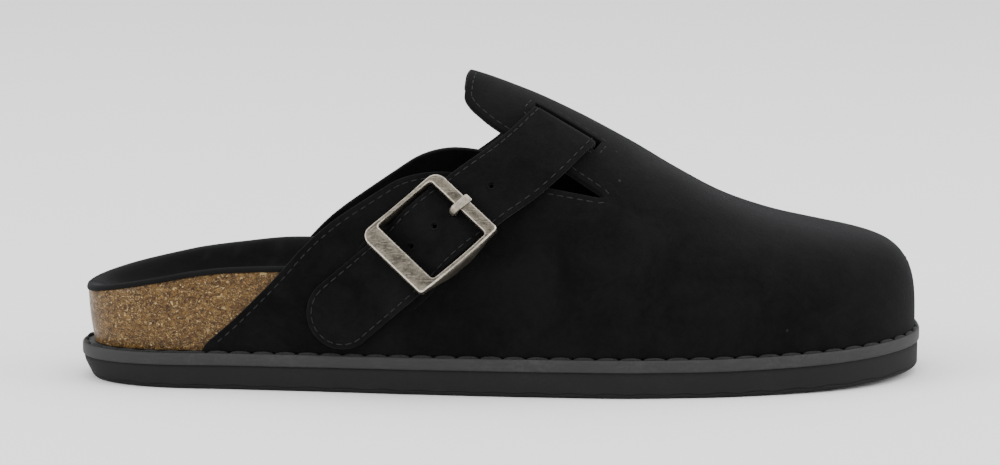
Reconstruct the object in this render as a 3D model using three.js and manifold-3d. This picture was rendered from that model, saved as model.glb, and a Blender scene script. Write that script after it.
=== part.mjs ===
// A right-foot suede clog with a cork footbed and one buckled strap.
// Millimetres, +Z up. X runs from heel to toe, +Y is the inner (medial) side of the shoe.
import * as THREE from 'three';
import { mergeVertices } from 'three/addons/utils/BufferGeometryUtils.js';
import Module from 'manifold-3d';

const wasm = await Module();
wasm.setup();

// Driving sizes
const SOLE_LENGTH = 285;
const BALL_WIDTH = 104;
const INSTEP_HEIGHT = 90.2;
const SEAM_GAP = 0.3;

// Sole
const OUTSOLE_THICKNESS = 8.6;
const WELT_THICKNESS = 4;
const HEEL_DROP = 0.85;
const HEEL_DROP_END = 0.6;
const TOE_SPRING = 2.3;
const TOE_SPRING_START = 0.72;
const HEEL_CAP_LENGTH = 43.9;
const HEEL_CAP_POWER = 2.2;
const TOE_CAP_LENGTH = 66.4;
const TOE_CAP_POWER = 2.7;
const HEEL_CENTRE_SHIFT = 1;
const TOE_CENTRE_SHIFT = 10;
const HEEL_TAPER = 2.8;
const HEEL_TAPER_END = 0.14;
const SOLE_EDGE_ROUND = 1.4;
const SOLE_EDGE_STEP = 0.9;
const SOLE_EDGE_BULGE = 0.3;

// Tread
const GROOVE_WIDTH = 2.6;
const GROOVE_DEPTH = 1.6;
const GROOVE_PITCH = 13;
const GROOVE_BOW = 5;
const GROOVE_MARGIN = 9;
const HEEL_GROOVES = { first: 26, count: 5 };
const FORE_GROOVES = { first: 150, count: 8 };

// Footbed
const RIM_HEIGHT = 27;
const RIM_FLARE = 1.9;
const RIM_FLARE_END = 0.17;
const RIM_ROUND = 1.1;
const RIM_WIDTH = 3.4;
const RIM_SLOPE_WIDTH = 8;
const INNER_RIM_RISE = 0.4;
const FOOTBED_CLEARANCE = 0.6;
const LINING_THICKNESS = 1.2;

// Upper
const UPPER_WALL = 2.3;
const WELT_LEDGE = 1.6;
const TOE_LEAN_START = 0.62;
const SHELL_START = 0.115;

// Strap, in distances along the strap from the middle of the buckle
const STRAP_WIDTH = 24;
const STRAP_THICKNESS = 2.8;
const STRAP_REST = 0.5;
const HOLE_DIAMETER = 3;
const HOLE_PLACES = [-7.6, 2.3, 25.4];
const PRONG_HOLE_LENGTH = 4;
const PRONG_HOLE_CLEARANCE = 0.1;
const SLOT_WIDTH = 7;
const SLOT_CLEARANCE = 0.7;

// Buckle
const FRAME_LENGTH = 34.2;
const FRAME_WIDTH = 28.6;
const FRONT_BAR = 5;
const BACK_BAR = 6.5;
const SIDE_BAR = 1.9;
const FRAME_DEPTH = 3.2;
const FRAME_CORNER = 1.6;
const FRAME_BEVEL = 0.6;
const FRAME_LIFT = 6.4;
const SIDE_BAR_DROP = 4.9;
const HINGE_DIAMETER = 2;
const TAB_THICKNESS = 1;
const TAB_LENGTH = 24;
const TAB_WIDTH = 28;
const TAB_NECK_WIDTH = 23.4;
const TAB_NECK_START = 12;
const PRONG_WIDTH = 3.4;
const PRONG_THICKNESS = 1.5;
const PRONG_OVERHANG = 0.1;
const PRONG_SIDE_CLEARANCE = 0.6;
const PRONG_EYE_WALL = 0.83;
const PRONG_EYE_ARC = { from: 0.2, to: 1.95 };
const TOP_DIP_SHARE = 0.15;
const TAB_FOLD_LENGTH = 9.6;
const TAB_FOLD_RISE = 0.62;

// Mesh steps
const OUTLINE_STEPS = 34;
const SHELL_STATIONS = 30;
const SHELL_TURNS = 11;
const COLLAR_STEPS = 3;
const GROOVE_STEPS = 8;
const BORE_STEPS = 12;
const WALK_STEP = 2.5;
const STRAP_STEP = 3;
const STRAP_END_STEPS = 6;
const BAR_STEP = 3.5;
const ANGLE_STEP = 0.01;
const SHARE_STEP = 0.002;
const MERGE_DISTANCE = 1e-4;

// Side wall of the outsole, from the ground up: height as a share of its thickness, share of
// the heel taper, and how much of the rounded lower edge it stands in.
const OUTSOLE_WALL = [
  { level: 0, taper: 1, round: 1 },
  { level: 0.06, taper: 1, round: 0.3 },
  { level: 0.2, taper: 0.85, round: 0 },
  { level: 0.6, taper: 0.3, round: 0 },
  { level: 0.9, taper: 0, round: 0 },
];

// Top of the footbed from its rim to its floor: share of the flat rim passed, share of the
// slope passed, and height as a share of the rise from floor to rim.
const FOOTBED_WALL = [
  { flat: 0.32, slope: 0, height: 0.97 },
  { flat: 1, slope: 0, height: 0.93 },
  { flat: 1, slope: 0.5, height: 0.45 },
  { flat: 1, slope: 1, height: 0.08 },
];
const FLOOR_SHARE = 0.55;
const FLOOR_DRAW = 0.28;

// Sole outline: place along the length, and how far each side stands from the middle,
// as shares of the ball width.
const OUTLINE = [
  { along: 0.0, outer: 0.288, inner: 0.322 },
  { along: 0.12, outer: 0.284, inner: 0.322 },
  { along: 0.25, outer: 0.332, inner: 0.324 },
  { along: 0.4, outer: 0.409, inner: 0.334 },
  { along: 0.55, outer: 0.471, inner: 0.392 },
  { along: 0.65, outer: 0.498, inner: 0.452 },
  { along: 0.73, outer: 0.488, inner: 0.49 },
  { along: 0.82, outer: 0.447, inner: 0.5 },
  { along: 0.92, outer: 0.399, inner: 0.476 },
  { along: 1.0, outer: 0.337, inner: 0.433 },
];

// Crest of the upper: height as a share of the instep height, shift to the inner side as a
// share of the ball width, and squareness of the section.
const CREST = [
  { along: 0.1, height: 1.1, shift: 0.03, square: 1.9 },
  { along: 0.3, height: 1.09, shift: 0.032, square: 1.86 },
  { along: 0.4, height: 1.045, shift: 0.034, square: 1.84 },
  { along: 0.465, height: 1.0, shift: 0.035, square: 1.84 },
  { along: 0.528, height: 0.926, shift: 0.046, square: 1.9 },
  { along: 0.588, height: 0.834, shift: 0.058, square: 2.0 },
  { along: 0.647, height: 0.731, shift: 0.066, square: 2.14 },
  { along: 0.707, height: 0.619, shift: 0.074, square: 2.32 },
  { along: 0.767, height: 0.514, shift: 0.082, square: 2.56 },
  { along: 0.81, height: 0.46, shift: 0.088, square: 2.76 },
  { along: 0.85, height: 0.423, shift: 0.089, square: 3.0 },
  { along: 0.9, height: 0.392, shift: 0.09, square: 3.3 },
  { along: 0.95, height: 0.375, shift: 0.09, square: 3.65 },
  { along: 1.0, height: 0.37, shift: 0.09, square: 4.0 },
];

// Footbed: height of the rim and of the floor above the welt, as shares of the rim height.
const FOOTBED = [
  { along: 0.0, rim: 0.66, floor: 0.52 },
  { along: 0.05, rim: 0.765, floor: 0.55 },
  { along: 0.1, rim: 0.86, floor: 0.57 },
  { along: 0.14, rim: 0.935, floor: 0.59 },
  { along: 0.185, rim: 0.995, floor: 0.62 },
  { along: 0.25, rim: 1.05, floor: 0.67 },
  { along: 0.32, rim: 1.02, floor: 0.67 },
  { along: 0.42, rim: 0.82, floor: 0.61 },
  { along: 0.55, rim: 0.53, floor: 0.44 },
  { along: 0.65, rim: 0.42, floor: 0.34 },
  { along: 0.8, rim: 0.38, floor: 0.31 },
  { along: 1.0, rim: 0.4, floor: 0.36 },
];

// Collar line seen from the side: places along the sole length, heights above the welt as
// shares of the instep height. The quarter runs up from the sole to the point of the notch,
// the tongue from that point back to its tip.
const OUTER_QUARTER = [
  { along: 0.146, up: -0.05 },
  { along: 0.148, up: 0.01 },
  { along: 0.181, up: 0.104 },
  { along: 0.229, up: 0.256 },
  { along: 0.264, up: 0.379 },
  { along: 0.285, up: 0.442 },
  { along: 0.311, up: 0.506 },
  { along: 0.358, up: 0.601 },
  { along: 0.38, up: 0.64 },
  { along: 0.409, up: 0.662 },
  { along: 0.441, up: 0.664 },
  { along: 0.497, up: 0.638 },
  { along: 0.552, up: 0.609 },
  { along: 0.616, up: 0.57 },
];
const OUTER_TONGUE = [
  { along: 0.616, up: 0.577 },
  { along: 0.572, up: 0.666 },
  { along: 0.532, up: 0.74 },
  { along: 0.491, up: 0.817 },
  { along: 0.474, up: 0.858 },
  { along: 0.464, up: 0.885 },
  { along: 0.457, up: 0.918 },
  { along: 0.4575, up: 0.945 },
  { along: 0.4595, up: 0.98 },
  { along: 0.4655, up: 1.012 },
  { along: 0.476, up: 1.06 },
];
const INNER_QUARTER = [
  { along: 0.17, up: -0.05 },
  { along: 0.172, up: 0.01 },
  { along: 0.204, up: 0.104 },
  { along: 0.248, up: 0.256 },
  { along: 0.284, up: 0.379 },
  { along: 0.307, up: 0.442 },
  { along: 0.335, up: 0.506 },
  { along: 0.378, up: 0.6 },
  { along: 0.4, up: 0.645 },
  { along: 0.426, up: 0.673 },
  { along: 0.456, up: 0.677 },
  { along: 0.502, up: 0.65 },
  { along: 0.552, up: 0.615 },
  { along: 0.616, up: 0.572 },
];
const INNER_TONGUE = [
  { along: 0.616, up: 0.582 },
  { along: 0.572, up: 0.685 },
  { along: 0.532, up: 0.76 },
  { along: 0.491, up: 0.832 },
  { along: 0.474, up: 0.866 },
  { along: 0.464, up: 0.888 },
  { along: 0.457, up: 0.918 },
  { along: 0.4575, up: 0.945 },
  { along: 0.4595, up: 0.98 },
  { along: 0.4655, up: 1.012 },
  { along: 0.476, up: 1.06 },
];

// Middle line of the strap on the upper: place along, and turn round the section, from 0 at
// the outer welt through 1 at the crest to 2 at the inner welt.
const STRAP_LINE = [
  { along: 0.282, turn: 0.04 },
  { along: 0.338, turn: 0.133 },
  { along: 0.38, turn: 0.205 },
  { along: 0.418, turn: 0.287 },
  { along: 0.454, turn: 0.364 },
  { along: 0.486, turn: 0.436 },
  { along: 0.513, turn: 0.504 },
  { along: 0.54, turn: 0.595 },
  { along: 0.562, turn: 0.7 },
  { along: 0.574, turn: 0.78 },
  { along: 0.585, turn: 0.89 },
  { along: 0.589, turn: 1.0 },
  { along: 0.586, turn: 1.12 },
  { along: 0.574, turn: 1.26 },
  { along: 0.557, turn: 1.38 },
  { along: 0.543, turn: 1.455 },
  { along: 0.52, turn: 1.54 },
  { along: 0.489, turn: 1.62 },
  { along: 0.455, turn: 1.7 },
  { along: 0.42, turn: 1.78 },
];
const BUCKLE_ROW = 3;
const SLOT_ROW = 9;
const NOTCH_ROW = 15;

// Height of the strap's underside over the upper near the buckle, as shares of the lift
// over the hinge bar, at shares of the frame length from its middle.
const STRAP_HUMP = [
  { at: -1.45, lift: 0 },
  { at: -0.87, lift: 0.06 },
  { at: -0.72, lift: 0.22 },
  { at: -0.58, lift: 0.29 },
  { at: -0.4, lift: 0.44 },
  { at: -0.23, lift: 0.7 },
  { at: -0.09, lift: 0.97 },
  { at: 0, lift: 1 },
  { at: 0.09, lift: 0.97 },
  { at: 0.23, lift: 0.79 },
  { at: 0.35, lift: 0.53 },
  { at: 0.52, lift: 0.3 },
  { at: 0.75, lift: 0.1 },
  { at: 1.0, lift: 0 },
];

const clamp = THREE.MathUtils.clamp;
const lerp = THREE.MathUtils.lerp;
const smoothstep = THREE.MathUtils.smoothstep;

// A smooth curve through the rows of a table, with no overshoot between them.
function curve(rows, place, value) {
  const x = rows.map((row) => row[place]);
  const y = rows.map((row) => row[value]);
  const slope = x.slice(1).map((next, i) => (y[i + 1] - y[i]) / (next - x[i]));
  const tangent = x.map((_, i) => {
    if (i === 0) return slope[0];
    if (i === x.length - 1) return slope[i - 1];
    const product = slope[i - 1] * slope[i];
    return product > 0 ? (2 * product) / (slope[i - 1] + slope[i]) : 0;
  });
  return (at) => {
    const last = x.length - 1;
    if (at <= x[0]) return y[0];
    if (at >= x[last]) return y[last];
    const i = x.findIndex((next) => next > at) - 1;
    const width = x[i + 1] - x[i];
    const t = (at - x[i]) / width;
    const rise = t * t * (3 - 2 * t);
    const start = width * tangent[i] * t * (1 - t) * (1 - t);
    const end = width * tangent[i + 1] * t * t * (1 - t);
    return lerp(y[i], y[i + 1], rise) + start - end;
  };
}

const outerWidth = curve(OUTLINE, 'along', 'outer');
const innerWidth = curve(OUTLINE, 'along', 'inner');
const crestHeight = curve(CREST, 'along', 'height');
const crestShift = curve(CREST, 'along', 'shift');
const crestSquare = curve(CREST, 'along', 'square');
const rimShare = curve(FOOTBED, 'along', 'rim');
const floorShare = curve(FOOTBED, 'along', 'floor');
const humpShare = curve(STRAP_HUMP, 'at', 'lift');

// Sole outline
const centreLine = (along) => lerp(HEEL_CENTRE_SHIFT, TOE_CENTRE_SHIFT, along);

function endRound(reach, capLength, power) {
  const t = clamp(1 - reach / capLength, 0, 1);
  return Math.pow(1 - Math.pow(t, power), 1 / power);
}

function outlinePoint(angle) {
  const along = (1 - Math.cos(angle)) / 2;
  const outerSide = Math.sin(angle) > 0;
  const x = along * SOLE_LENGTH;
  const heel = endRound(x, HEEL_CAP_LENGTH, HEEL_CAP_POWER);
  const toe = endRound(SOLE_LENGTH - x, TOE_CAP_LENGTH, TOE_CAP_POWER);
  const reach = BALL_WIDTH * (outerSide ? -outerWidth(along) : innerWidth(along));
  const middle = centreLine(along);
  return new THREE.Vector2(x, middle + (reach - middle) * Math.min(heel, toe));
}

// A point of the outline set in by a distance, at an angle from 0 at the heel over the outer
// side to PI at the toe and on over the inner side.
function rimPoint(angle, inset) {
  const tangent = outlinePoint(angle + ANGLE_STEP).sub(outlinePoint(angle - ANGLE_STEP)).normalize();
  return outlinePoint(angle).add(new THREE.Vector2(-tangent.y, tangent.x).multiplyScalar(inset));
}

const springAt = (along) => TOE_SPRING
  * Math.pow(clamp((along - TOE_SPRING_START) / (1 - TOE_SPRING_START), 0, 1), 2);
const dropAt = (along) => HEEL_DROP * clamp(1 - along / HEEL_DROP_END, 0, 1);
const outsoleTop = (along) => OUTSOLE_THICKNESS + springAt(along) - dropAt(along);
const weltBottom = (along) => outsoleTop(along) + SEAM_GAP;
const weltTop = (along) => weltBottom(along) + WELT_THICKNESS;
const seat = (along) => weltTop(along) + SEAM_GAP;

// A closed solid from rings of equal point counts, listed from the underside round the rim to
// the top. Each ring runs from the heel over the outer side and back over the inner side, and
// the first and last are closed straight across.
function ringSolid(rings) {
  const count = rings[0].length;
  const half = count / 2;
  const points = rings.flat();
  const positions = points.flatMap((point) => [point.x, point.y, point.z]);
  const corner = (index) => points[index];
  const faces = [];
  for (let r = 0; r + 1 < rings.length; r += 1) {
    for (let k = 0; k < count; k += 1) {
      const a = r * count + k;
      const b = r * count + ((k + 1) % count);
      const rising = corner(a).distanceTo(corner(b + count)) < corner(b).distanceTo(corner(a + count));
      faces.push(...(rising
        ? [a, b, b + count, a, b + count, a + count]
        : [a, b, a + count, b, b + count, a + count]));
    }
  }
  const cap = (start, up) => {
    for (let k = 0; k < half; k += 1) {
      const a = start + k;
      const b = start + k + 1;
      const c = start + ((count - k) % count);
      const d = start + count - k - 1;
      const quad = [[a, b, d], [a, d, c]].filter((face) => new Set(face).size === 3);
      quad.forEach((face) => faces.push(...(up ? face : face.reverse())));
    }
  };
  cap(0, false);
  cap((rings.length - 1) * count, true);
  return solidGeometry(positions, faces);
}

function solidGeometry(positions, faces) {
  const geometry = new THREE.BufferGeometry();
  geometry.setAttribute('position', new THREE.Float32BufferAttribute(positions, 3));
  geometry.setIndex(faces);
  return mergeVertices(geometry, MERGE_DISTANCE);
}

function plainCopy(geometry) {
  const copy = geometry.clone();
  copy.deleteAttribute('normal');
  copy.deleteAttribute('uv');
  return mergeVertices(copy, MERGE_DISTANCE);
}

function toManifold(geometry) {
  const plain = plainCopy(geometry);
  return new wasm.Manifold(new wasm.Mesh({
    numProp: 3,
    vertProperties: new Float32Array(plain.attributes.position.array),
    triVerts: new Uint32Array(plain.index.array),
  }));
}

function cut(geometry, cutters) {
  const solid = cutters.reduce((left, cutter) => left.subtract(toManifold(cutter)), toManifold(geometry));
  const mesh = solid.getMesh();
  return solidGeometry(Array.from(mesh.vertProperties), Array.from(mesh.triVerts));
}

// One ring of the outline: inset and height are functions of the place along the length.
function ring(inset, height) {
  const points = [];
  for (let k = 0; k < 2 * OUTLINE_STEPS; k += 1) {
    const angle = (Math.PI * k) / OUTLINE_STEPS;
    const along = (1 - Math.cos(angle)) / 2;
    const inner = k > OUTLINE_STEPS;
    const point = rimPoint(angle, inset(along, inner));
    points.push(new THREE.Vector3(point.x, point.y, height(along, inner)));
  }
  return points;
}

// Outsole
function outsole() {
  const taper = (along) => HEEL_TAPER * clamp(1 - along / HEEL_TAPER_END, 0, 1);
  const level = (share) => (along) => lerp(springAt(along), outsoleTop(along), share);
  const edge = SOLE_EDGE_STEP - SOLE_EDGE_BULGE;
  const wall = OUTSOLE_WALL.map((row) => ring(
    (along) => edge + taper(along) * row.taper + SOLE_EDGE_ROUND * row.round,
    level(row.level),
  ));
  const body = ringSolid([...wall, ring(() => SOLE_EDGE_STEP, level(1))]);
  return cut(body, [...grooves(HEEL_GROOVES), ...grooves(FORE_GROOVES)]);
}

function sideAt(along, outerSide) {
  const angle = Math.acos(1 - 2 * along);
  return outlinePoint(outerSide ? angle : 2 * Math.PI - angle).y;
}

// A run of bowed grooves across the tread, each ending inside the edge of the sole.
function grooves({ first, count }) {
  return Array.from({ length: count }, (_, i) => {
    const x = first + i * GROOVE_PITCH;
    const along = x / SOLE_LENGTH;
    const low = sideAt(along, true) + GROOVE_MARGIN;
    const high = sideAt(along, false) - GROOVE_MARGIN;
    const bowed = (t, side) => new THREE.Vector2(
      x + GROOVE_BOW * Math.sin(Math.PI * t) + (side * GROOVE_WIDTH) / 2,
      lerp(low, high, t),
    );
    const front = Array.from({ length: GROOVE_STEPS + 1 }, (_unused, k) => bowed(k / GROOVE_STEPS, 1));
    const back = Array.from({ length: GROOVE_STEPS + 1 }, (_unused, k) => (
      bowed(1 - k / GROOVE_STEPS, -1)
    ));
    const depth = GROOVE_DEPTH + springAt(along);
    const bar = new THREE.ExtrudeGeometry(new THREE.Shape([...front, ...back]), {
      depth: 2 * depth,
      bevelEnabled: false,
    });
    return bar.translate(0, 0, -depth);
  });
}

// Welt
function welt() {
  return ringSolid([
    ring(() => 0, weltBottom),
    ring(() => 0, weltTop),
  ]);
}

// Footbed: cork body and suede lining share the same top surface
const FOOTBED_INSET = WELT_LEDGE + UPPER_WALL + SEAM_GAP;
const rimHeight = (along, inner) => seat(along) + RIM_HEIGHT * rimShare(along)
  + (inner ? INNER_RIM_RISE * rimShare(along) : 0);
const floorHeight = (along) => seat(along) + RIM_HEIGHT * floorShare(along);

// How far the upper leans in over its foot at the height of the rim.
function leanAtRim(along, inner) {
  const power = crestSquare(along);
  const rise = (rimHeight(along, inner) - seat(along)) / (INSTEP_HEIGHT * crestHeight(along));
  const reach = Math.pow(1 - Math.pow(rise, power), 1 / power);
  return (1 - reach) * Math.abs(sideAt(along, !inner) - crestShift(along) * BALL_WIDTH);
}

// The rim flares out round the bare heel and keeps clear of the leaning upper further on.
function topInset(along, inner) {
  const heel = clamp(1 - along / RIM_FLARE_END, 0, 1);
  return FOOTBED_INSET + lerp(FOOTBED_CLEARANCE + leanAtRim(along, inner), -RIM_FLARE, heel);
}

function footbedTop(lift) {
  const slope = (share) => (along, inner) => lift
    + lerp(floorHeight(along), rimHeight(along, inner), share);
  const within = (reach) => (along, inner) => topInset(along, inner) + reach;
  const floor = ring(within(RIM_WIDTH + RIM_SLOPE_WIDTH), slope(0)).map((point) => {
    const along = point.x / SOLE_LENGTH;
    const x = SOLE_LENGTH * lerp(along, 0.5, FLOOR_DRAW * FLOOR_SHARE);
    const y = lerp(point.y, centreLine(along), FLOOR_SHARE);
    return new THREE.Vector3(x, y, point.z);
  });
  return [
    ring(topInset, (along, inner) => rimHeight(along, inner) - RIM_ROUND / 2 + lift),
    ...FOOTBED_WALL.map((row) => ring(
      within(RIM_WIDTH * row.flat + RIM_SLOPE_WIDTH * row.slope),
      slope(row.height),
    )),
    floor,
  ];
}

function corkFootbed() {
  return ringSolid([
    ring(() => FOOTBED_INSET, seat),
    ...footbedTop(0),
  ]);
}

function insole() {
  const below = footbedTop(SEAM_GAP);
  const above = footbedTop(SEAM_GAP + LINING_THICKNESS);
  return ringSolid([...below.reverse(), ...above]);
}

// Upper: the outer face at a place along the length and a turn round the section
const toeLean = (along) => {
  const t = clamp((along - TOE_LEAN_START) / (1 - TOE_LEAN_START), 0, 1);
  return along < TOE_LEAN_START ? along : TOE_LEAN_START + (1 - TOE_LEAN_START) * (t - (t * t) / 2);
};

function upperPoint(along, turn) {
  const place = clamp(along, 0, 1);
  const outerSide = turn <= 1;
  const sweep = (outerSide ? turn : 2 - turn) * (Math.PI / 2);
  const angle = Math.acos(1 - 2 * place);
  const foot = rimPoint(outerSide ? angle : 2 * Math.PI - angle, WELT_LEDGE);
  const crest = toeLean(place);
  const power = crestSquare(place);
  const cosine = Math.abs(Math.cos(sweep));
  const sine = Math.abs(Math.sin(sweep));
  const radius = Math.pow(Math.pow(cosine, power) + Math.pow(sine, power), -1 / power);
  const x = lerp(crest * SOLE_LENGTH, foot.x, radius * Math.cos(sweep));
  const y = lerp(crestShift(crest) * BALL_WIDTH, foot.y, radius * Math.cos(sweep));
  const rise = radius * Math.sin(sweep);
  const height = INSTEP_HEIGHT * crestHeight(x / SOLE_LENGTH);
  return new THREE.Vector3(x, y, lerp(seat(place), seat(x / SOLE_LENGTH), rise) + height * rise);
}

function upperSlopes(along, turn) {
  const before = upperPoint(along - SHARE_STEP, turn);
  const after = upperPoint(along + SHARE_STEP, turn);
  const down = upperPoint(along, turn - SHARE_STEP);
  const up = upperPoint(along, turn + SHARE_STEP);
  const forward = after.sub(before).divideScalar(2 * SHARE_STEP);
  const round = up.sub(down).divideScalar(2 * SHARE_STEP);
  return { forward, round, normal: new THREE.Vector3().crossVectors(forward, round).normalize() };
}

// The whole last, before the collar is cut: an outer skin and an inner one a wall inside it.
function upperShell() {
  const across = 2 * SHELL_TURNS;
  const positions = [];
  const faces = [];
  for (let i = 0; i <= SHELL_STATIONS; i += 1) {
    const along = lerp(SHELL_START, 1, Math.sin((Math.PI * i) / (2 * SHELL_STATIONS)));
    for (let j = 0; j <= across; j += 1) {
      positions.push(...upperPoint(along, j / SHELL_TURNS).toArray());
      if (i < SHELL_STATIONS && j < across) {
        const a = i * (across + 1) + j;
        const b = a + across + 1;
        faces.push(a, b, a + 1, b, b + 1, a + 1);
      }
    }
  }
  return thickened(solidGeometry(positions, faces), UPPER_WALL);
}

// Gives an open skin a wall on its inner side, and keeps its lower edge level.
function thickened(skin, wall) {
  const smooth = skin.clone();
  smooth.computeVertexNormals();
  const outer = smooth.attributes.position;
  const normals = smooth.attributes.normal;
  const count = outer.count;
  const positions = Array.from(outer.array);
  for (let k = 0; k < count; k += 1) {
    const point = new THREE.Vector3().fromBufferAttribute(outer, k);
    const normal = new THREE.Vector3().fromBufferAttribute(normals, k);
    const place = clamp(point.x / SOLE_LENGTH, 0, 1);
    const low = point.z < seat(place) + SEAM_GAP;
    if (low) normal.setZ(0).normalize();
    positions.push(...point.addScaledVector(normal, -wall).toArray());
  }
  const index = Array.from(skin.index.array);
  const faces = [...index];
  const edges = new Map();
  for (let f = 0; f < index.length; f += 3) {
    const [a, b, c] = index.slice(f, f + 3);
    faces.push(a + count, c + count, b + count);
    [[a, b], [b, c], [c, a]].forEach(([from, to]) => edges.set(`${from} ${to}`, [from, to]));
  }
  edges.forEach(([from, to]) => {
    if (edges.has(`${to} ${from}`)) return;
    faces.push(to, from, from + count, to, from + count, to + count);
  });
  return solidGeometry(positions, faces);
}

// A block that removes all behind the collar line on one side of the shoe.
function collarCutter(quarter, tongue, outerSide) {
  const level = seat(0.5);
  const place = ({ along, up }) => new THREE.Vector2(along * SOLE_LENGTH, level + up * INSTEP_HEIGHT);
  const line = (rows) => new THREE.SplineCurve(rows.map(place)).getPoints(COLLAR_STEPS * (rows.length - 1));
  const top = level + 2 * INSTEP_HEIGHT;
  const outline = new THREE.Shape([
    new THREE.Vector2(-BALL_WIDTH, 0),
    new THREE.Vector2(quarter[0].along * SOLE_LENGTH, 0),
    ...line(quarter),
    ...line(tongue),
    new THREE.Vector2(tongue[tongue.length - 1].along * SOLE_LENGTH, top),
    new THREE.Vector2(-BALL_WIDTH, top),
  ]);
  const block = new THREE.ExtrudeGeometry(outline, { depth: BALL_WIDTH, bevelEnabled: false });
  const middle = crestShift(tongue[0].along) * BALL_WIDTH;
  block.rotateX(Math.PI / 2);
  block.translate(0, outerSide ? middle : middle + BALL_WIDTH - SEAM_GAP, 0);
  return block;
}

// Strap line, measured along the upper from the middle of the buckle
const strapCurve = new THREE.CatmullRomCurve3(
  STRAP_LINE.map(({ along, turn }) => new THREE.Vector3(along, turn, 0)),
  false,
  'centripetal',
);
const STRAP_SAMPLES = 240;
const strapSamples = (() => {
  const samples = [];
  let run = 0;
  for (let i = 0; i <= STRAP_SAMPLES; i += 1) {
    const { x: along, y: turn } = strapCurve.getPoint(i / STRAP_SAMPLES);
    const point = upperPoint(along, turn);
    if (i > 0) run += point.distanceTo(samples[i - 1].point);
    samples.push({ along, turn, point, run });
  }
  const buckle = samples[sampleOfRow(BUCKLE_ROW)].run;
  return samples.map((sample) => ({ ...sample, run: sample.run - buckle }));
})();

function sampleOfRow(row) {
  return Math.round((row * STRAP_SAMPLES) / (STRAP_LINE.length - 1));
}

const STRAP_START = strapSamples[0].run;
const STRAP_END = strapSamples[STRAP_SAMPLES].run;
const PRONG_HOLE_END = FRAME_LENGTH / 2 - FRONT_BAR - PRONG_HOLE_CLEARANCE;
const PRONG_HOLE_START = PRONG_HOLE_END - PRONG_HOLE_LENGTH;
const PRONG_TIP = FRAME_LENGTH / 2 + PRONG_OVERHANG;
const SLOT_PLACE = strapSamples[sampleOfRow(SLOT_ROW)].run;
const NOTCH_PLACE = strapSamples[sampleOfRow(NOTCH_ROW)].run;

function strapPlace(run) {
  const wanted = clamp(run, STRAP_START, STRAP_END);
  const next = Math.max(1, strapSamples.findIndex((sample) => sample.run >= wanted));
  const a = strapSamples[next - 1];
  const b = strapSamples[next];
  const t = (wanted - a.run) / (b.run - a.run);
  return { along: lerp(a.along, b.along, t), turn: lerp(a.turn, b.turn, t) };
}

// A point over the upper: run along the strap, across it, and lift off the outer face.
function onStrap(run, across, lift) {
  let { along, turn } = strapPlace(run);
  const ahead = strapPlace(run + 1);
  const behind = strapPlace(run - 1);
  const direction = upperPoint(ahead.along, ahead.turn).sub(upperPoint(behind.along, behind.turn));
  const side = new THREE.Vector3().crossVectors(upperSlopes(along, turn).normal, direction).normalize();
  const steps = Math.max(1, Math.ceil(Math.abs(across) / WALK_STEP));
  for (let i = 0; i < steps; i += 1) {
    const { forward, round } = upperSlopes(along, turn);
    const ff = forward.dot(forward);
    const fr = forward.dot(round);
    const rr = round.dot(round);
    const f = forward.dot(side) * (across / steps);
    const r = round.dot(side) * (across / steps);
    const scale = 1 / (ff * rr - fr * fr);
    along += (f * rr - r * fr) * scale;
    turn += (r * ff - f * fr) * scale;
  }
  return upperPoint(along, turn).addScaledVector(upperSlopes(along, turn).normal, lift);
}

// Lays a flat shape, drawn in run, across and lift, onto the upper.
function laid(geometry) {
  const plain = plainCopy(geometry);
  const position = plain.attributes.position;
  for (let k = 0; k < position.count; k += 1) {
    const point = onStrap(position.getX(k), position.getY(k), position.getZ(k));
    position.setXYZ(k, ...point.toArray());
  }
  return plain;
}

// Heights of the stack under the strap at the hinge bar
const hingeHeight = 2 * SEAM_GAP + TAB_THICKNESS + HINGE_DIAMETER / 2;
const loopInner = HINGE_DIAMETER / 2 + SEAM_GAP;
const loopOuter = loopInner + TAB_THICKNESS;
const humpLift = hingeHeight + loopOuter + SEAM_GAP;
const underTongue = -(UPPER_WALL + STRAP_REST + STRAP_THICKNESS);

function strapLift(run) {
  const hump = lerp(STRAP_REST, humpLift, humpShare(run / FRAME_LENGTH));
  const half = SLOT_WIDTH / 2 + STRAP_REST;
  const inside = smoothstep(run, SLOT_PLACE - half, SLOT_PLACE + half)
    * (1 - smoothstep(run, NOTCH_PLACE - half, NOTCH_PLACE + half));
  return lerp(hump, underTongue, inside);
}

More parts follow.
